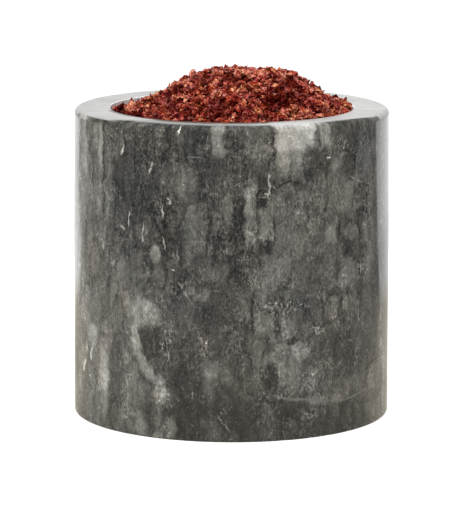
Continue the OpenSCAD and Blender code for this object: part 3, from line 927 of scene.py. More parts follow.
def flake_group():
    """The broken skin and flesh of dried pepper, shared by every flake material."""
    sockets = [
        ("Tint", "Float"), ("Deep", "Color"), ("Bright", "Color"), ("Lit", "Color"), ("Blotch", "Float"),
    ]
    made_sockets = [("Color", "Color"), ("Roughness", "Float"), ("Height", "Float")]
    tree, kit, given, made = new_group("dried_flake", sockets, made_sockets)
    place = kit.scaled(kit.add("ShaderNodeTexCoord").outputs["Object"], 1 / MM)
    blotch = kit.noise(place, 0.9, 3.0, 0.6)
    pleat = kit.noise(place, 1.8, 3.0, 0.65)
    drift = kit.times(kit.math("SUBTRACT", blotch, 0.5), given["Blotch"])
    share = kit.math("ADD", given["Tint"], drift, clamp=True)
    shade = kit.mix_colour(share, given["Deep"], given["Bright"])

    # Folds get painted shade, and the crests between them a painted highlight in the lit colour
    fold = kit.spread(pleat, 0.38, 0.54, 0.36, 1.0)
    shade = kit.mix_colour(1.0, shade, kit.grey(fold), "MULTIPLY")
    highlight_share = kit.spread(given["Tint"], 0.0, 0.35, 0.2, 0.75)
    crest_highlight = kit.times(kit.spread(pleat, 0.52, 0.66), highlight_share)
    shade = kit.mix_colour(crest_highlight, shade, given["Lit"])

    # The red turns to crimson in some places and to rust in others
    crimson = (0.98, 0.96, 1.18, 1.0)
    rust = (1.04, 1.1, 0.73, 1.0)
    ripeness = kit.spread(kit.noise(place, 0.45, 2.0, 0.6), 0.38, 0.62)
    hue = kit.mix_colour(ripeness, crimson, rust)
    kit.feed(made.inputs["Color"], kit.mix_colour(1.0, shade, hue, "MULTIPLY"))
    kit.feed(made.inputs["Roughness"], kit.spread(blotch, 0.3, 0.7, 0.28, 0.5, "LINEAR"))
    kit.feed(made.inputs["Height"], pleat)
    return tree


def flake_material(name, deep, bright, lit, shine, group):
    """One colour of dried flake."""
    material, kit, shader = new_material(name)
    tint = kit.add("ShaderNodeAttribute", attribute_name="tint").outputs["Fac"]
    feeds = {"Tint": tint, "Deep": deep, "Bright": bright, "Lit": lit, "Blotch": 0.9}
    dried = kit.add("ShaderNodeGroup", feeds, node_tree=group).outputs
    kit.feed(shader.inputs["Base Color"], dried["Color"])
    kit.feed(shader.inputs["Roughness"], dried["Roughness"])
    kit.feed(shader.inputs["Normal"], kit.bump(dried["Height"], 0.4 * MM, 0.8))
    shader.inputs["Specular IOR Level"].default_value = shine
    return material


def bed_material(deep, bright, group):
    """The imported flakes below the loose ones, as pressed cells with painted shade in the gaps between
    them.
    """
    material, kit, shader = new_material("packed_pepper")
    place = kit.scaled(kit.add("ShaderNodeTexCoord").outputs["Object"], 1 / MM)
    stirred = kit.vector("ADD", place, kit.scaled(kit.swirl(place, 0.8), 1.6))
    tint = kit.cell_lot(kit.cells(stirred, 0.55))
    feeds = {"Tint": tint, "Deep": deep, "Bright": bright, "Lit": bright, "Blotch": 0.5}
    dried = kit.add("ShaderNodeGroup", feeds, node_tree=group).outputs
    # The gaps between the cells are painted dark as shade, and sink in the bump
    gap_shade_and_depth = kit.spread(kit.seams(stirred, 0.55), 0.0, 0.14, 0.25, 1.0)
    shade = kit.mix_colour(1.0, dried["Color"], kit.grey(gap_shade_and_depth), "MULTIPLY")
    kit.feed(shader.inputs["Base Color"], shade)
    kit.feed(shader.inputs["Roughness"], dried["Roughness"])
    height = kit.math("ADD", gap_shade_and_depth, kit.times(dried["Height"], 0.4))
    kit.feed(shader.inputs["Normal"], kit.bump(height, 0.4 * MM, 0.7))
    shader.inputs["Specular IOR Level"].default_value = 0.12
    return material


def new_piece(name, points, faces, material, body, nodes):
    """A mesh piece that rides on a body and stands for construction nodes."""
    mesh = bpy.data.meshes.new(name)
    mesh.from_pydata(points, [], faces)
    mesh.update()
    mesh.materials.append(material)
    piece = bpy.data.objects.new(name, mesh)
    bpy.context.scene.collection.objects.link(piece)
    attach(piece, body)
    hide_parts(*nodes)
    return piece


def arc(centre_radius, centre_height, reach, start, end, steps):
    """Points of an arc in the profile, from one angle in degrees to another."""
    angles = np.radians(np.linspace(start, end, steps + 1))
    return [(centre_radius + reach * math.cos(a), centre_height + reach * math.sin(a)) for a in angles]


def turned(profile, around):
    """Rings of points, and the faces between them, of a profile that starts and ends on the axis."""
    angles = np.linspace(0.0, 2 * math.pi, around, endpoint=False)
    rings = np.array(profile[1:-1])
    points = np.empty((len(rings), around, 3))
    points[:, :, 0] = rings[:, :1] * np.cos(angles)
    points[:, :, 1] = rings[:, :1] * np.sin(angles)
    points[:, :, 2] = rings[:, 1:]
    last = (len(rings) - 1) * around
    axis_point = len(rings) * around
    faces = []
    for k in range(around):
        following = (k + 1) % around
        faces.append((axis_point, following, k))
        faces.append((axis_point + 1, last + k, last + following))
        for row in range(len(rings) - 1):
            low = row * around
            faces.append((low + k, low + following, low + around + following, low + around + k))
    ends = np.array([(0.0, 0.0, profile[0][1]), (0.0, 0.0, profile[-1][1])])
    return points, ends, faces


def face_outwards(mesh):
    """Turns every face of a closed mesh to look out."""
    shape = bmesh.new()
    shape.from_mesh(mesh)
    bmesh.ops.recalc_face_normals(shape, faces=shape.faces)
    shape.to_mesh(mesh)
    shape.free()


class CupSettings(bpy.types.PropertyGroup):
    """Sizes and finish of the marble cup."""

    outer_radius: FloatProperty(
        name="Outer Radius", description="Radius of the outside of the cup",
        default=CUP_HIGH.x, unit="LENGTH", subtype="DISTANCE",
    )
    height: FloatProperty(
        name="Height", description="Height of the cup from foot to rim",
        default=CUP_HIGH.z, unit="LENGTH", subtype="DISTANCE",
    )
    bowl_radius: FloatProperty(
        name="Bowl Radius", description="Radius of the bowl inside the cup",
        default=29.2 * MM, unit="LENGTH", subtype="DISTANCE",
    )
    floor_height: FloatProperty(
        name="Floor Height", description="Thickness of stone under the bowl",
        default=12 * MM, unit="LENGTH", subtype="DISTANCE",
    )
    corner_radius: FloatProperty(
        name="Corner Radius", description="Rounding between the bowl's wall and its floor",
        default=8 * MM, unit="LENGTH", subtype="DISTANCE",
    )
    rim_radius: FloatProperty(
        name="Rim Rounding", description="Rounding of the outer edge of the rim",
        default=1.3 * MM, unit="LENGTH", subtype="DISTANCE",
    )
    top_inset: FloatProperty(
        name="Top Inset", description="How much smaller the cup's radius is at the rim than lower down",
        default=0.28 * MM, unit="LENGTH", subtype="DISTANCE",
    )
    mouth_radius: FloatProperty(
        name="Mouth Rounding", description="Rounding of the inner edge of the rim",
        default=0.3 * MM, unit="LENGTH", subtype="DISTANCE",
    )
    foot_radius: FloatProperty(
        name="Foot Rounding", description="Rounding of the edge that the cup stands on",
        default=0.5 * MM, unit="LENGTH", subtype="DISTANCE",
    )
    wear: FloatProperty(
        name="Edge Wear", description="Depth of the small nicks along the edges",
        default=0.15 * MM, unit="LENGTH", subtype="DISTANCE",
    )
    around: IntProperty(name="Steps Around", description="Points in each ring of the cup", default=360)


class HeapSettings(bpy.types.PropertyGroup):
    """Sizes and colours of the crushed pepper."""

    reach: FloatProperty(
        name="Heap Radius", description="Radius that no flake passes",
        default=29.05 * MM, unit="LENGTH", subtype="DISTANCE",
    )
    core_depth: FloatProperty(
        name="Core Depth", description="Depth of the loose flakes over the packed heap",
        default=2.2 * MM, unit="LENGTH", subtype="DISTANCE",
    )
    flake_low: FloatProperty(
        name="Smallest Flake", description="Half the length of the smallest flakes",
        default=0.5 * MM, unit="LENGTH", subtype="DISTANCE",
    )
    flake_high: FloatProperty(
        name="Largest Flake", description="Half the length of the largest flakes",
        default=1.75 * MM, unit="LENGTH", subtype="DISTANCE",
    )
    most_flakes: IntProperty(
        name="Most Flakes", description="Most flakes dropped on the heap", default=7000,
    )
    side_flakes: IntProperty(
        name="Side Flakes", description="Flakes against the bowl's wall", default=3600,
    )
    under_flakes: IntProperty(
        name="Under Flakes", description="Flakes against the bowl's floor", default=700,
    )
    dark_colour: FloatVectorProperty(
        name="Dark Skin", description="Bright end of the darkest skins",
        subtype="COLOR", size=4, default=colour(116, 27, 17),
    )
    red_colour: FloatVectorProperty(
        name="Red Skin", description="Bright end of the red skins",
        subtype="COLOR", size=4, default=colour(180, 54, 34),
    )
    orange_colour: FloatVectorProperty(
        name="Orange Flesh", description="Bright end of the orange flesh",
        subtype="COLOR", size=4, default=colour(212, 112, 76),
    )
    pale_colour: FloatVectorProperty(
        name="Pale Seed", description="Bright end of the straw coloured bits",
        subtype="COLOR", size=4, default=colour(222, 164, 110),
    )


class StageSettings(bpy.types.PropertyGroup):
    """The camera, the lamps and the floor."""

    camera_back: FloatProperty(
        name="Camera Distance", description="Distance of the camera from the cup's axis",
        default=795.7 * MM, unit="LENGTH", subtype="DISTANCE",
    )
    camera_height: FloatProperty(
        name="Camera Height", description="Height of the camera over the floor",
        default=176.2 * MM, unit="LENGTH", subtype="DISTANCE",
    )
    look_down: FloatProperty(
        name="Look Down", description="Angle of the camera below level",
        default=0.17163, unit="ROTATION", subtype="ANGLE",
    )
    lean: FloatProperty(
        name="Lean", description="Turn of the camera about its own line of sight",
        default=-0.0028, unit="ROTATION", subtype="ANGLE",
    )
    lens: FloatProperty(name="Lens", description="Focal length", default=237.4, unit="CAMERA")
    key_power: FloatProperty(
        name="Key Lamp", description="Power of the large soft lamp above", default=19.0, unit="POWER",
    )
    sky: FloatProperty(name="Sky", description="Strength of the even light from all round", default=0.45)


def edge_wear(points, settings):
    """Moves the points of the cup inwards by small nicks at its edges and a faint waviness."""
    radius = np.hypot(points[:, :, 0], points[:, :, 1])
    height = points[:, :, 2]
    moved = points.copy()
    edge = 1.8 * MM
    waviness = 0.03 * MM
    upright_share = 0.6
    for row in range(points.shape[0]):
        near_top = abs(height[row, 0] - settings.height) < edge
        near_foot = height[row, 0] < edge
        on_edge = (near_top or near_foot) and radius[row, 0] > settings.outer_radius - edge
        on_wall = radius[row, 0] > settings.outer_radius - settings.top_inset - 0.01 * MM
        if not (on_edge or on_wall):
            continue
        for k in range(points.shape[1]):
            spot = Vector(points[row, k]) / MM
            sink = waviness * (0.5 + 0.5 * noise.noise(spot * 0.09))
            if on_edge:
                nick = noise.noise(spot * 0.55) + 0.5 * noise.noise(spot * 1.3)
                sink += settings.wear * max(0.0, nick - 0.25)
            share = 1 - sink / radius[row, k]
            moved[row, k, :2] *= share
            if near_top and on_edge:
                moved[row, k, 2] -= sink * upright_share
            if near_foot and on_edge:
                moved[row, k, 2] += sink * upright_share
    return moved


class SALT_CELLAR_OT_cup(bpy.types.Operator):
    """Makes the turned marble cup"""

    bl_idname = "salt_cellar.cup"
    bl_label = "Marble Cup"

    def execute(self, context):
        s = context.scene.salt_cellar_cup
        out, top = s.outer_radius, s.height
        bowl, floor = s.bowl_radius, s.floor_height

        # From the middle of the foot, up the wall, over the rim and down the bowl
        profile = [(r, 0.0) for r in np.linspace(0.0, out - s.foot_radius, 9)[:-1]]
        profile += arc(out - s.foot_radius, s.foot_radius, s.foot_radius, -90, 0, 5)
        lean_start = top * 0.62
        lean_end = top - s.rim_radius
        for z in np.linspace(s.foot_radius, lean_end, 62)[1:-1]:
            share = min(max((z - lean_start) / (lean_end - lean_start), 0.0), 1.0)
            profile.append((out - s.top_inset * share, z))
        shoulder = out - s.top_inset - s.rim_radius
        profile += arc(shoulder, top - s.rim_radius, s.rim_radius, 0, 90, 7)
        profile += [(r, top) for r in np.linspace(shoulder, bowl + s.mouth_radius, 12)[1:-1]]
        profile += arc(bowl + s.mouth_radius, top - s.mouth_radius, s.mouth_radius, 90, 180, 4)
        bowl_wall = np.linspace(top - s.mouth_radius, floor + s.corner_radius, 22)
        profile += [(bowl, z) for z in bowl_wall[1:-1]]
        profile += arc(bowl - s.corner_radius, floor + s.corner_radius, s.corner_radius, 0, -90, 10)
        profile += [(r, floor) for r in np.linspace(bowl - s.corner_radius, 0.0, 9)[1:]]
        points, ends, faces = turned(profile, s.around)
        points = edge_wear(points, s)
        flat = np.vstack([points.reshape(-1, 3), ends])
        piece = new_piece(
            "cup_body", flat.tolist(), faces, marble_material(s), "cup", ["marble_cup"]
        )
        face_outwards(piece.data)
        piece.data.shade_smooth()
        piece.modifiers.new("even_shading", "WEIGHTED_NORMAL").weight = 80
        return {"FINISHED"}


class Mound:
    """The height of the construction model's heap over a square grid."""

    def __init__(self, reach, step):
        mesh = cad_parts["flake_bed"].data
        corners = [v.co.copy() for v in mesh.vertices]
        sides = [tuple(p.vertices) for p in mesh.polygons]
        tree = BVHTree.FromPolygons(corners, sides)
        self.step = step
        self.half = int(reach / step) + 2
        self.axis = np.arange(-self.half, self.half + 1) * step
        self.level = np.full((len(self.axis), len(self.axis)), np.nan)
        down = Vector((0.0, 0.0, -1.0))
        for row, y in enumerate(self.axis):
            for column, x in enumerate(self.axis):
                # Places outside the heap take the height just inside its edge
                squeeze = min(1.0, 0.995 * reach / max(math.hypot(x, y), step))
                start = Vector((x * squeeze, y * squeeze, BED_HIGH.z + 10 * MM))
                hit = tree.ray_cast(start, down)[0]
                if hit is None:
                    raise RuntimeError("a place on the heap has nothing under it")
                self.level[row, column] = hit.z

    def at(self, x, y):
        """The height at places given as arrays, between the grid's points."""
        column = np.clip(np.asarray(x) / self.step + self.half, 0, 2 * self.half - 1.001)
        row = np.clip(np.asarray(y) / self.step + self.half, 0, 2 * self.half - 1.001)
        c0, r0 = column.astype(int), row.astype(int)
        fc, fr = column - c0, row - r0
        level = self.level
        low = level[r0, c0] * (1 - fc) + level[r0, c0 + 1] * fc
        high = level[r0 + 1, c0] * (1 - fc) + level[r0 + 1, c0 + 1] * fc
        return low * (1 - fr) + high * fr


class SALT_CELLAR_OT_packed_heap(bpy.types.Operator):
    """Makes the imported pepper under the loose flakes"""

    bl_idname = "salt_cellar.packed_heap"
    bl_label = "Packed Heap"

    def execute(self, context):
        s = context.scene.salt_cellar_heap
        radius = s.reach - 0.3 * MM
        low = BED_LOW.z + 0.15 * MM
        corner = 7.5 * MM
        profile = [(r, low) for r in np.linspace(0.0, radius - corner, 22)[:-1]]
        profile += arc(radius - corner, low + corner, corner, -90, 0, 10)
        profile += [(radius, z) for z in np.linspace(low + corner, HEAP_TOP, 52)[1:]]
        top_steps = 56
        profile += [(r, HEAP_TOP) for r in np.linspace(radius, 0.0, top_steps)[1:]]
        points, ends, faces = turned(profile, 180)
        mound = Mound(s.reach, 0.5 * MM)
        top_row = len(profile) - top_steps
        for row in range(points.shape[0]):
            for k in range(points.shape[1]):
                x, y, z = points[row, k]
                spot = Vector((x, y, z)) / MM
                dent = 0.35 * MM * max(0.0, noise.noise(spot * 0.5) + noise.noise(spot * 1.1))
                if row >= top_row:
                    lump = 0.5 * MM * noise.noise(spot * 0.4)
                    points[row, k, 2] = mound.at(x, y) - s.core_depth + lump
                else:
                    points[row, k, :2] *= 1 - dent / radius
        ends[1, 2] = float(mound.at(0.0, 0.0)) - s.core_depth
        flat = np.vstack([points.reshape(-1, 3), ends])
        group = flake_group()
        material = bed_material(colour(62, 15, 9), colour(150, 48, 28), group)
        piece = new_piece(
            "packed_heap", flat.tolist(), faces, material, "fill", ["flake_bed"]
        )
        face_outwards(piece.data)
        piece.data.shade_smooth()
        return {"FINISHED"}


def cluster_lean(clusters, x, y, z):
    """How far the flakes at these places lean to the bright kinds, above zero, or the dark ones."""
    lean = np.zeros_like(np.asarray(x, dtype=float))
    for place_x, place_y, half_x, half_y, amount in clusters:
        away = ((x / MM - place_x) / half_x) ** 2 + ((y / MM - place_y) / half_y) ** 2
        lean += amount * np.exp(-away)
    return np.where(z > HEAP_TOP, lean, 0.0)


def beside_lip(x, y):
    """Whether places in the heap lie in the shade of the front left lip."""
    turn = np.degrees(np.arctan2(y, x)) % 360
    return (np.hypot(x, y) > LIP_SHADE_RADIUS) & (turn > LIP_SHADE_FROM) & (turn < LIP_SHADE_TO)


def drop_flakes(s, mound, rng):
    """Drops flakes one by one on the lowest places of the heap until it is full.

    Returns arrays of centre, normal, heading, half length, half width and thickness."""
    axis = mound.axis
    ground = mound.level - s.core_depth
    lumps = np.zeros_like(ground)
    for row, y in enumerate(axis):
        for column, x in enumerate(axis):
            lumps[row, column] = noise.noise(Vector((x, y, 0.05)) * 330) * 0.5 * MM
    level_x, level_y = np.meshgrid(axis, axis)
    middle = 1 - (np.hypot(level_x, level_y) / s.reach) ** 2
    side = level_x / s.reach

    # The goal is higher in the middle, lower at the left, and has a shoulder on the right
    goal = mound.level - 0.2 * MM + 1.5 * MM * np.clip(middle, 0, 1) + lumps
    goal -= 2.0 * MM * np.clip(-side - 0.4, 0, 1)
    goal -= 0.8 * MM * np.exp(-((side + 0.62) / 0.18) ** 2)
    goal += 1.0 * MM * np.exp(-((side - 0.49) / 0.2) ** 2) * np.clip(middle * 2, 0, 1)
    goal -= 0.5 * MM * np.exp(-((side - 0.86) / 0.12) ** 2)

    # Dark clusters are hollows, and the flakes close to the front left lip stand up a little
    goal += 0.7 * MM * np.clip(cluster_lean(CLUSTERS, level_x, level_y, 1.0), -1.0, 0.0)
    goal += 0.4 * MM * beside_lip(level_x, level_y)
    tries = 10
    most_misses = 60
    least_lack = 0.05 * MM
    steepest = 0.9
    tumble = 0.48
    placed = []
    misses = 0
    while len(placed) < s.most_flakes and misses < most_misses:
        # The place that lacks most of a few random ones
        away = s.reach * np.sqrt(rng.random(tries)) * 0.985
        angle = rng.random(tries) * 2 * math.pi
        xs, ys = away * np.cos(angle), away * np.sin(angle)
        columns = np.rint(xs / mound.step).astype(int) + mound.half
        rows = np.rint(ys / mound.step).astype(int) + mound.half
        lack = goal[rows, columns] - ground[rows, columns]
        pick = int(np.argmax(lack))
        if lack[pick] < least_lack:
            misses += 1
            continue
        x, y = xs[pick], ys[pick]
        long_half = s.flake_low + (s.flake_high - s.flake_low) * rng.beta(1.6, 2.0)
        wide_half = long_half * rng.uniform(0.5, 0.95)
        thick = rng.uniform(0.2, 0.5) * MM

        # The ground under the flake
        edge = s.reach - long_half * 0.9
        if math.hypot(x, y) > edge:
            x, y = x * edge / math.hypot(x, y), y * edge / math.hypot(x, y)
        column = int(round(x / mound.step)) + mound.half
        row = int(round(y / mound.step)) + mound.half
        span = max(1, int(math.ceil(long_half / mound.step)))
        rows_near = slice(max(row - span, 0), row + span + 1)
        columns_near = slice(max(column - span, 0), column + span + 1)
        window = (rows_near, columns_near)
        local_x, local_y = np.meshgrid(axis[window[1]] - x, axis[window[0]] - y)
        heading = rng.uniform(0, 2 * math.pi)
        along = local_x * math.cos(heading) + local_y * math.sin(heading)
        across = -local_x * math.sin(heading) + local_y * math.cos(heading)
        under = (along / long_half) ** 2 + (across / wide_half) ** 2 < 1.0
        if under.sum() < 4:
            under[:] = True

        # It lies along that ground, tumbled a little, and rests on the higher part of it
        heights = ground[window][under]
        table = np.column_stack([local_x[under], local_y[under], np.ones(int(under.sum()))])
        slope_x, slope_y, _ = np.linalg.lstsq(table, heights, rcond=None)[0]
        slope_x = np.clip(slope_x, -steepest, steepest) + rng.normal(0, tumble)
        slope_y = np.clip(slope_y, -steepest, steepest) + rng.normal(0, tumble)
        plane = slope_x * local_x + slope_y * local_y
        rest = np.quantile(heights - plane[under], 0.72)
        centre = rest + thick / 2
        covered = np.maximum(ground[window], plane + rest + thick)
        ground[window] = np.where(under, covered, ground[window])
        normal = np.array([-slope_x, -slope_y, 1.0])
        normal /= np.linalg.norm(normal)
        placed.append((x, y, centre, *normal, heading, long_half, wide_half, thick))
    return np.array(placed)


def wall_flakes(s, rng):
    """Flakes pressed against the bowl's wall and floor, seen when the heap is lifted."""
    placed = []
    low = BED_LOW.z + 0.25 * MM
    corner = 7.6 * MM
    thick = 0.2 * MM

    # On the wall and on the rounded corner below it
    for _ in range(s.side_flakes):
        angle = rng.uniform(0, 2 * math.pi)
        z = rng.uniform(low + 3.5 * MM, 73.0 * MM)
        half = rng.uniform(1.0, 1.9) * MM
        tilt = rng.normal(0, 0.16, 2)
        radial = np.array([math.cos(angle), math.sin(angle), 0.0])
        side = np.array([-math.sin(angle), math.cos(angle), 0.0])
        rise = max(0.0, low + corner - z)
        inset = corner - math.sqrt(max(corner ** 2 - rise ** 2, 0.0))
        normal = radial * (corner if rise else 1.0) - np.array([0, 0, rise]) + side * tilt[0]
        normal = normal / np.linalg.norm(normal) + np.array([0, 0, tilt[1]])
        normal /= np.linalg.norm(normal)
        distance = s.reach - 0.22 * MM - inset
        centre = radial * distance + np.array([0, 0, z])
        heading = rng.uniform(0, 2 * math.pi)
        wide_half = half * rng.uniform(0.5, 0.9)
        placed.append((*centre, *normal, heading, half, wide_half, thick))

    # On the flat underside
    for _ in range(s.under_flakes):
        away = (s.reach - corner) * math.sqrt(rng.random())
        angle = rng.uniform(0, 2 * math.pi)
        half = rng.uniform(1.0, 1.9) * MM
        tilt = rng.normal(0, 0.07, 2)
        normal = np.array([tilt[0], tilt[1], -1.0])
        normal /= np.linalg.norm(normal)
        centre = (away * math.cos(angle), away * math.sin(angle), low + 0.2 * MM)
        heading = rng.uniform(0, 2 * math.pi)
        wide_half = half * rng.uniform(0.5, 0.9)
        placed.append((*centre, *normal, heading, half, wide_half, thick))
    return np.array(placed)


def flake_faces(corners, with_middle):
    """Triangles of one closed flake: its top, its underside and its edge."""
    size = (2 if with_middle else 1) * corners + 1
    faces = []
    for side in (0, 1):
        base = side * size
        for k in range(corners):
            following = (k + 1) % corners
            fan = (base, base + 1 + k, base + 1 + following)
            faces.append(fan if side == 0 else fan[::-1])
            if with_middle:
                inner_a, inner_b = base + 1 + k, base + 1 + following
                outer_a, outer_b = inner_a + corners, inner_b + corners
                for face in ((inner_a, outer_a, outer_b), (inner_a, outer_b, inner_b)):
                    faces.append(face if side == 0 else face[::-1])
    rim = 1 + (corners if with_middle else 0)
    for k in range(corners):
        following = (k + 1) % corners
        top_a, top_b = rim + k, rim + following
        low_a, low_b = top_a + size, top_b + size
        faces.append((top_a, low_a, low_b))
        faces.append((top_a, low_b, top_b))
    return np.array(faces)


def flake_points(placed, corners, with_middle, curl, rng):
    """Points of many flakes at their places: each an uneven, curled and crumpled scrap."""
    count = len(placed)
    centre, normal = placed[:, 0:3], placed[:, 3:6]
    heading, long_half, wide_half, thick = placed[:, 6], placed[:, 7], placed[:, 8], placed[:, 9]
    angles = (np.arange(corners) + rng.uniform(-0.33, 0.33, (count, corners))) * 2 * math.pi / corners
    reach = rng.uniform(0.7, 1.12, (count, corners))
    outer = np.stack([np.cos(angles) * reach, np.sin(angles) * reach], axis=2)
    rings = [np.zeros((count, 1, 2))]
    if with_middle:
        rings.append(outer * rng.uniform(0.45, 0.65, (count, corners, 1)))
    rings.append(outer)
    flat = np.concatenate(rings, axis=1)

    # Each scrap is bent along one direction, twisted and crumpled
    across = rng.uniform(0, math.pi, count)
    bent = flat[:, :, 0] * np.cos(across)[:, None] + flat[:, :, 1] * np.sin(across)[:, None]
    twist = flat[:, :, 0] * flat[:, :, 1] * rng.normal(0, 0.35, (count, 1))
    amount = rng.uniform(-1.0, 1.0, (count, 1)) * curl
    crumple = rng.normal(0, 0.30, flat.shape[:2])
    lift = (amount * bent ** 2 + twist * curl + crumple * curl) * long_half[:, None]
    lift -= lift.mean(axis=1, keepdims=True)
    x = flat[:, :, 0] * long_half[:, None]
    y = flat[:, :, 1] * wide_half[:, None]
    # A flake is thinner at its edge
    body = np.ones(flat.shape[1])
    body[-corners:] = 0.55
    shells = []
    for side in (0.5, -0.5):
        shells.append(np.stack([x, y, lift + side * thick[:, None] * body], axis=2))
    local = np.concatenate(shells, axis=1)
    guess = np.where(np.abs(normal[:, 2:3]) > 0.9, [[1.0, 0.0, 0.0]], [[0.0, 0.0, 1.0]])
    first = np.cross(guess, normal)
    first /= np.linalg.norm(first, axis=1, keepdims=True)
    second = np.cross(normal, first)
    turn_a = first * np.cos(heading)[:, None] + second * np.sin(heading)[:, None]
    turn_b = -first * np.sin(heading)[:, None] + second * np.cos(heading)[:, None]
    return (
        centre[:, None, :]
        + local[:, :, 0:1] * turn_a[:, None, :]
        + local[:, :, 1:2] * turn_b[:, None, :]
        + local[:, :, 2:3] * normal[:, None, :]
    )


def keep_inside(points, s, top):
    """Shifts each flake in from the bowl's wall and down from the tallest point allowed."""
    radius = np.hypot(points[:, :, 0], points[:, :, 1])
    worst = radius.argmax(axis=1)
    index = np.arange(len(points))
    excess = np.maximum(radius[index, worst] - s.reach, 0.0)
    direction = points[index, worst, :2] / radius[index, worst][:, None]
    points[:, :, :2] -= (direction * excess[:, None])[:, None, :]
    points[:, :, 2] -= np.maximum(points[:, :, 2].max(axis=1) - top, 0.0)[:, None]
    points[:, :, 2] += np.maximum(BED_LOW.z + 0.05 * MM - points[:, :, 2].min(axis=1), 0.0)[:, None]
    return points


class SALT_CELLAR_OT_loose_flakes(bpy.types.Operator):
    """Makes the loose flakes of each colour"""

    bl_idname = "salt_cellar.loose_flakes"
    bl_label = "Loose Flakes"

    def execute(self, context):
        s = context.scene.salt_cellar_heap
        rng = np.random.default_rng(41)
        mound = Mound(s.reach, 0.25 * MM)
        loose = drop_flakes(s, mound, rng)
        pressed = wall_flakes(s, rng)
        sets = []
        for placed, corners, with_middle, curl in ((loose, 8, True, 0.75), (pressed, 6, False, 0.12)):
            points = flake_points(placed, corners, with_middle, curl, rng)
            points = keep_inside(points, s, cad_box[1].z)
            x, y, z = placed[:, 0], placed[:, 1], placed[:, 2]
            # The clusters' leans are partly the flakes' colour and partly painted light and shade
            lean = cluster_lean(CLUSTERS + COLOUR_AND_LIGHT_LEANS, x, y, z)
            # Flakes beside the front left lip lean to the dark kinds, a painted shade of the lip
            at_lip = beside_lip(x, y) & (z > LIP_SHADE_HEIGHT)
            lean = lean - LIP_SHADE * at_lip

            # Seeds away from the left and the back turn to red skins. Other kinds lean with
            # their cluster.
            lot = rng.random(len(placed))
            in_front = (x > -16 * MM) & (y < 5 * MM)
            lot = np.where((lot >= ORANGE_TO) & in_front, RED_LOT, lot)
            leant = np.clip(lot + LOT_LEAN * lean, 0.0, HIGHEST_LEAN_LOT)
            lot = np.where(lot < ORANGE_TO, leant, lot)
            tint = np.clip(rng.random(len(placed)) + TINT_LEAN * lean, 0.0, 1.0)
            sets.append((points, flake_faces(corners, with_middle), lot, tint))
        group = bpy.data.node_groups["dried_flake"]

        # Piece, node, slot, lots, deep, bright and lit colours, and shine. The lit colour is the painted
        # highlight on the crests.
        kinds = [
            ("dark_flakes_loose", "dark_flakes", "dark_skin", (0.0, DARK_TO),
             colour(80, 10, 4), s.dark_colour, colour(154, 85, 76), 0.03),
            ("red_flakes_loose", "red_flakes", "red_skin", (DARK_TO, RED_TO),
             colour(112, 20, 9), s.red_colour, colour(216, 157, 142), 0.16),
            ("orange_flakes_loose", "orange_flakes", "orange_flesh", (RED_TO, ORANGE_TO),
             colour(172, 56, 32), s.orange_colour, colour(242, 209, 194), 0.3),
            ("pale_bits_loose", "pale_bits", "pale_seed", (ORANGE_TO, 1.0),
             colour(158, 92, 50), s.pale_colour, colour(236, 200, 158), 0.5),
        ]
        for name, node, slot, (low, high), deep, bright, lit, shine in kinds:
            all_points, all_faces, all_tints = [], [], []
            start = 0
            for points, faces, lot, tint in sets:
                chosen = (lot >= low) & (lot < high)
                mine = points[chosen]
                each = points.shape[1]
                offsets = start + np.arange(len(mine))[:, None, None] * each
                all_points.append(mine.reshape(-1, 3))
                all_faces.append((faces[None] + offsets).reshape(-1, 3))
                all_tints.append(np.repeat(tint[chosen], each))
                start += len(mine) * each
            material = flake_material(slot, deep, tuple(bright), lit, shine, group)
            flat = np.vstack(all_points).tolist()
            triangles = np.vstack(all_faces).tolist()
            piece = new_piece(name, flat, triangles, material, "fill", [node])
            tint_values = piece.data.attributes.new("tint", "FLOAT", "POINT")
            tint_values.data.foreach_set("value", np.concatenate(all_tints).astype(np.float32))
            piece.data.shade_smooth()
            piece.data.set_sharp_from_angle(angle=math.radians(40))
        return {"FINISHED"}


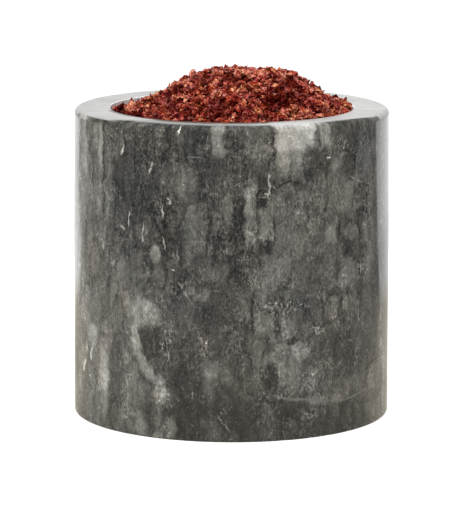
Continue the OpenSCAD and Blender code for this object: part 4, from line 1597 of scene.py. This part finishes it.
def floor_material():
    """A white floor that keeps the cup's shadow.

    Polished stone mirrors it dim in front, pale behind at both sides, and warm close to the foot."""
    material, kit, shader = new_material("studio_floor")
    kit.tree.nodes.remove(shader)
    path = kit.add("ShaderNodeLightPath").outputs
    place = kit.add("ShaderNodeTexCoord").outputs["Object"]
    where = kit.parts(place)
    angle, away = kit.round_axis(where["X"], where["Y"])

    def by_angle(low, high, to_low=0.0, to_high=1.0):
        """A value that changes between two angles round the cup, given in degrees."""
        return kit.spread(angle, math.radians(low), math.radians(high), to_low, to_high)

    # The pale floor behind the cup, on the right and on the left
    right = by_angle(126.9, 127.8)
    right = kit.times(right, kit.spread(away, 215 * MM, 420 * MM, 0.8, 1.0))
    left_start = kit.spread(away, 290 * MM, 350 * MM, math.radians(-131), math.radians(-139))
    left = kit.spread(kit.math("SUBTRACT", angle, left_start), 0.0, math.radians(-9))
    behind = kit.math("MAXIMUM", kit.math("MAXIMUM", right, left), 0.10)
    far = kit.spread(away, 150 * MM, 215 * MM)
    distant = kit.grey(behind)

    # The warm floor close to the foot, paler at the left and at the right
    warm_floor = (0.42, 0.39, 0.33)
    near_left = by_angle(-142, -156, 1.0, 2.3)
    near_right = by_angle(115, 140, 1.0, 1.3)
    near = kit.vector("MULTIPLY", warm_floor, kit.times(near_left, near_right))
    seen = kit.mix_colour(far, near, distant)
    mirror = kit.add("ShaderNodeEmission", {"Color": seen}).outputs[0]

    # The camera sees it glow white round a shadow, and other rays see it plain
    plain = kit.add("ShaderNodeBsdfDiffuse", {"Color": (0.6, 0.6, 0.59, 1)}).outputs[0]
    glow = kit.add("ShaderNodeEmission", {"Color": (1, 1, 1, 1), "Strength": 0.8}).outputs[0]
    shadowed = kit.add("ShaderNodeBsdfDiffuse", {"Color": (0.42, 0.42, 0.42, 1)}).outputs[0]
    shown = kit.add("ShaderNodeAddShader", {0: glow, 1: shadowed}).outputs[0]
    direct = kit.add("ShaderNodeMixShader", {0: path["Is Camera Ray"], 1: plain, 2: shown}).outputs[0]
    final = kit.add("ShaderNodeMixShader", {0: path["Is Glossy Ray"], 1: direct, 2: mirror}).outputs[0]
    kit.feed(kit.tree.nodes["Material Output"].inputs["Surface"], final)
    return material


def studio_world(sky):
    """White behind the object, and even soft light from all round."""
    world = bpy.data.worlds.new("studio")
    world.use_nodes = True
    kit = NodeKit(world.node_tree)
    path = kit.add("ShaderNodeLightPath").outputs
    seen = kit.add("ShaderNodeTexCoord").outputs["Generated"]
    direction = kit.parts(seen)
    back = kit.spread(direction["Y"], -0.2, 0.5, 0.12, 1.0)
    strength = kit.mix(path["Is Glossy Ray"], sky, back)
    strength = kit.mix(path["Is Camera Ray"], strength, 1.0)
    strength = kit.mix(path["Is Transmission Ray"], strength, 1.0)
    background = kit.tree.nodes["Background"]
    kit.feed(background.inputs["Strength"], strength)
    background.inputs["Color"].default_value = (1, 1, 1, 1)
    return world


class SALT_CELLAR_OT_stage(bpy.types.Operator):
    """Makes the floor, the lamps, the world and the camera"""

    bl_idname = "salt_cellar.stage"
    bl_label = "Stage"

    def execute(self, context):
        s = context.scene.salt_cellar_stage
        scene = context.scene

        # A floor six metres wide
        half = 3.0
        corners = [(-half, -half, 0), (half, -half, 0), (half, half, 0), (-half, half, 0)]
        mesh = bpy.data.meshes.new("floor")
        mesh.from_pydata(corners, [], [(0, 1, 2, 3)])
        mesh.materials.append(floor_material())
        floor = bpy.data.objects.new("floor", mesh)
        scene.collection.objects.link(floor)
        scene.world = studio_world(s.sky)

        # A large soft lamp above, in front and a little to the left
        lamp_data = bpy.data.lights.new("key_lamp", "AREA")
        lamp_data.shape = "RECTANGLE"
        lamp_data.size = 1.6
        lamp_data.size_y = 1.2
        lamp_data.energy = s.key_power
        lamp = bpy.data.objects.new("key_lamp", lamp_data)
        lamp.location = (-0.22, -0.5, 0.98)
        aim = Vector((0.0, 0.0, 0.05)) - lamp.location
        lamp.rotation_mode = "QUATERNION"
        lamp.rotation_quaternion = aim.to_track_quat("-Z", "Y")
        scene.collection.objects.link(lamp)

        camera_data = bpy.data.cameras.new("camera")
        camera_data.lens = s.lens
        camera_data.clip_end = 20.0
        camera = bpy.data.objects.new("camera", camera_data)
        camera.location = (0.0, -s.camera_back, s.camera_height)
        camera.rotation_euler = (math.pi / 2 - s.look_down, s.lean, 0.0)
        scene.collection.objects.link(camera)
        scene.camera = camera
        scene.view_settings.view_transform = "Standard"
        return {"FINISHED"}


class SALT_CELLAR_PT_panel(bpy.types.Panel):
    """Lists the operators that make the salt cellar"""

    bl_label = "Salt Cellar"
    bl_idname = "SALT_CELLAR_PT_panel"
    bl_space_type = "VIEW_3D"
    bl_region_type = "UI"
    bl_category = "Salt Cellar"

    def draw(self, context):
        for operator in OPERATORS:
            self.layout.operator(operator.bl_idname)


OPERATORS = (
    SALT_CELLAR_OT_cup,
    SALT_CELLAR_OT_packed_heap,
    SALT_CELLAR_OT_loose_flakes,
    SALT_CELLAR_OT_stage,
)
SETTINGS = {
    "salt_cellar_cup": CupSettings,
    "salt_cellar_heap": HeapSettings,
    "salt_cellar_stage": StageSettings,
}


def register():
    for group in SETTINGS.values():
        bpy.utils.register_class(group)
    for name, group in SETTINGS.items():
        setattr(bpy.types.Scene, name, PointerProperty(type=group))
    for operator in OPERATORS:
        bpy.utils.register_class(operator)
    bpy.utils.register_class(SALT_CELLAR_PT_panel)


def unregister():
    bpy.utils.unregister_class(SALT_CELLAR_PT_panel)
    for operator in reversed(OPERATORS):
        bpy.utils.unregister_class(operator)
    for name, group in SETTINGS.items():
        delattr(bpy.types.Scene, name)
        bpy.utils.unregister_class(group)


def main():
    register()
    bpy.ops.salt_cellar.cup()
    bpy.ops.salt_cellar.packed_heap()
    bpy.ops.salt_cellar.loose_flakes()
    bpy.ops.salt_cellar.stage()


if __name__ == "__main__":
    main()
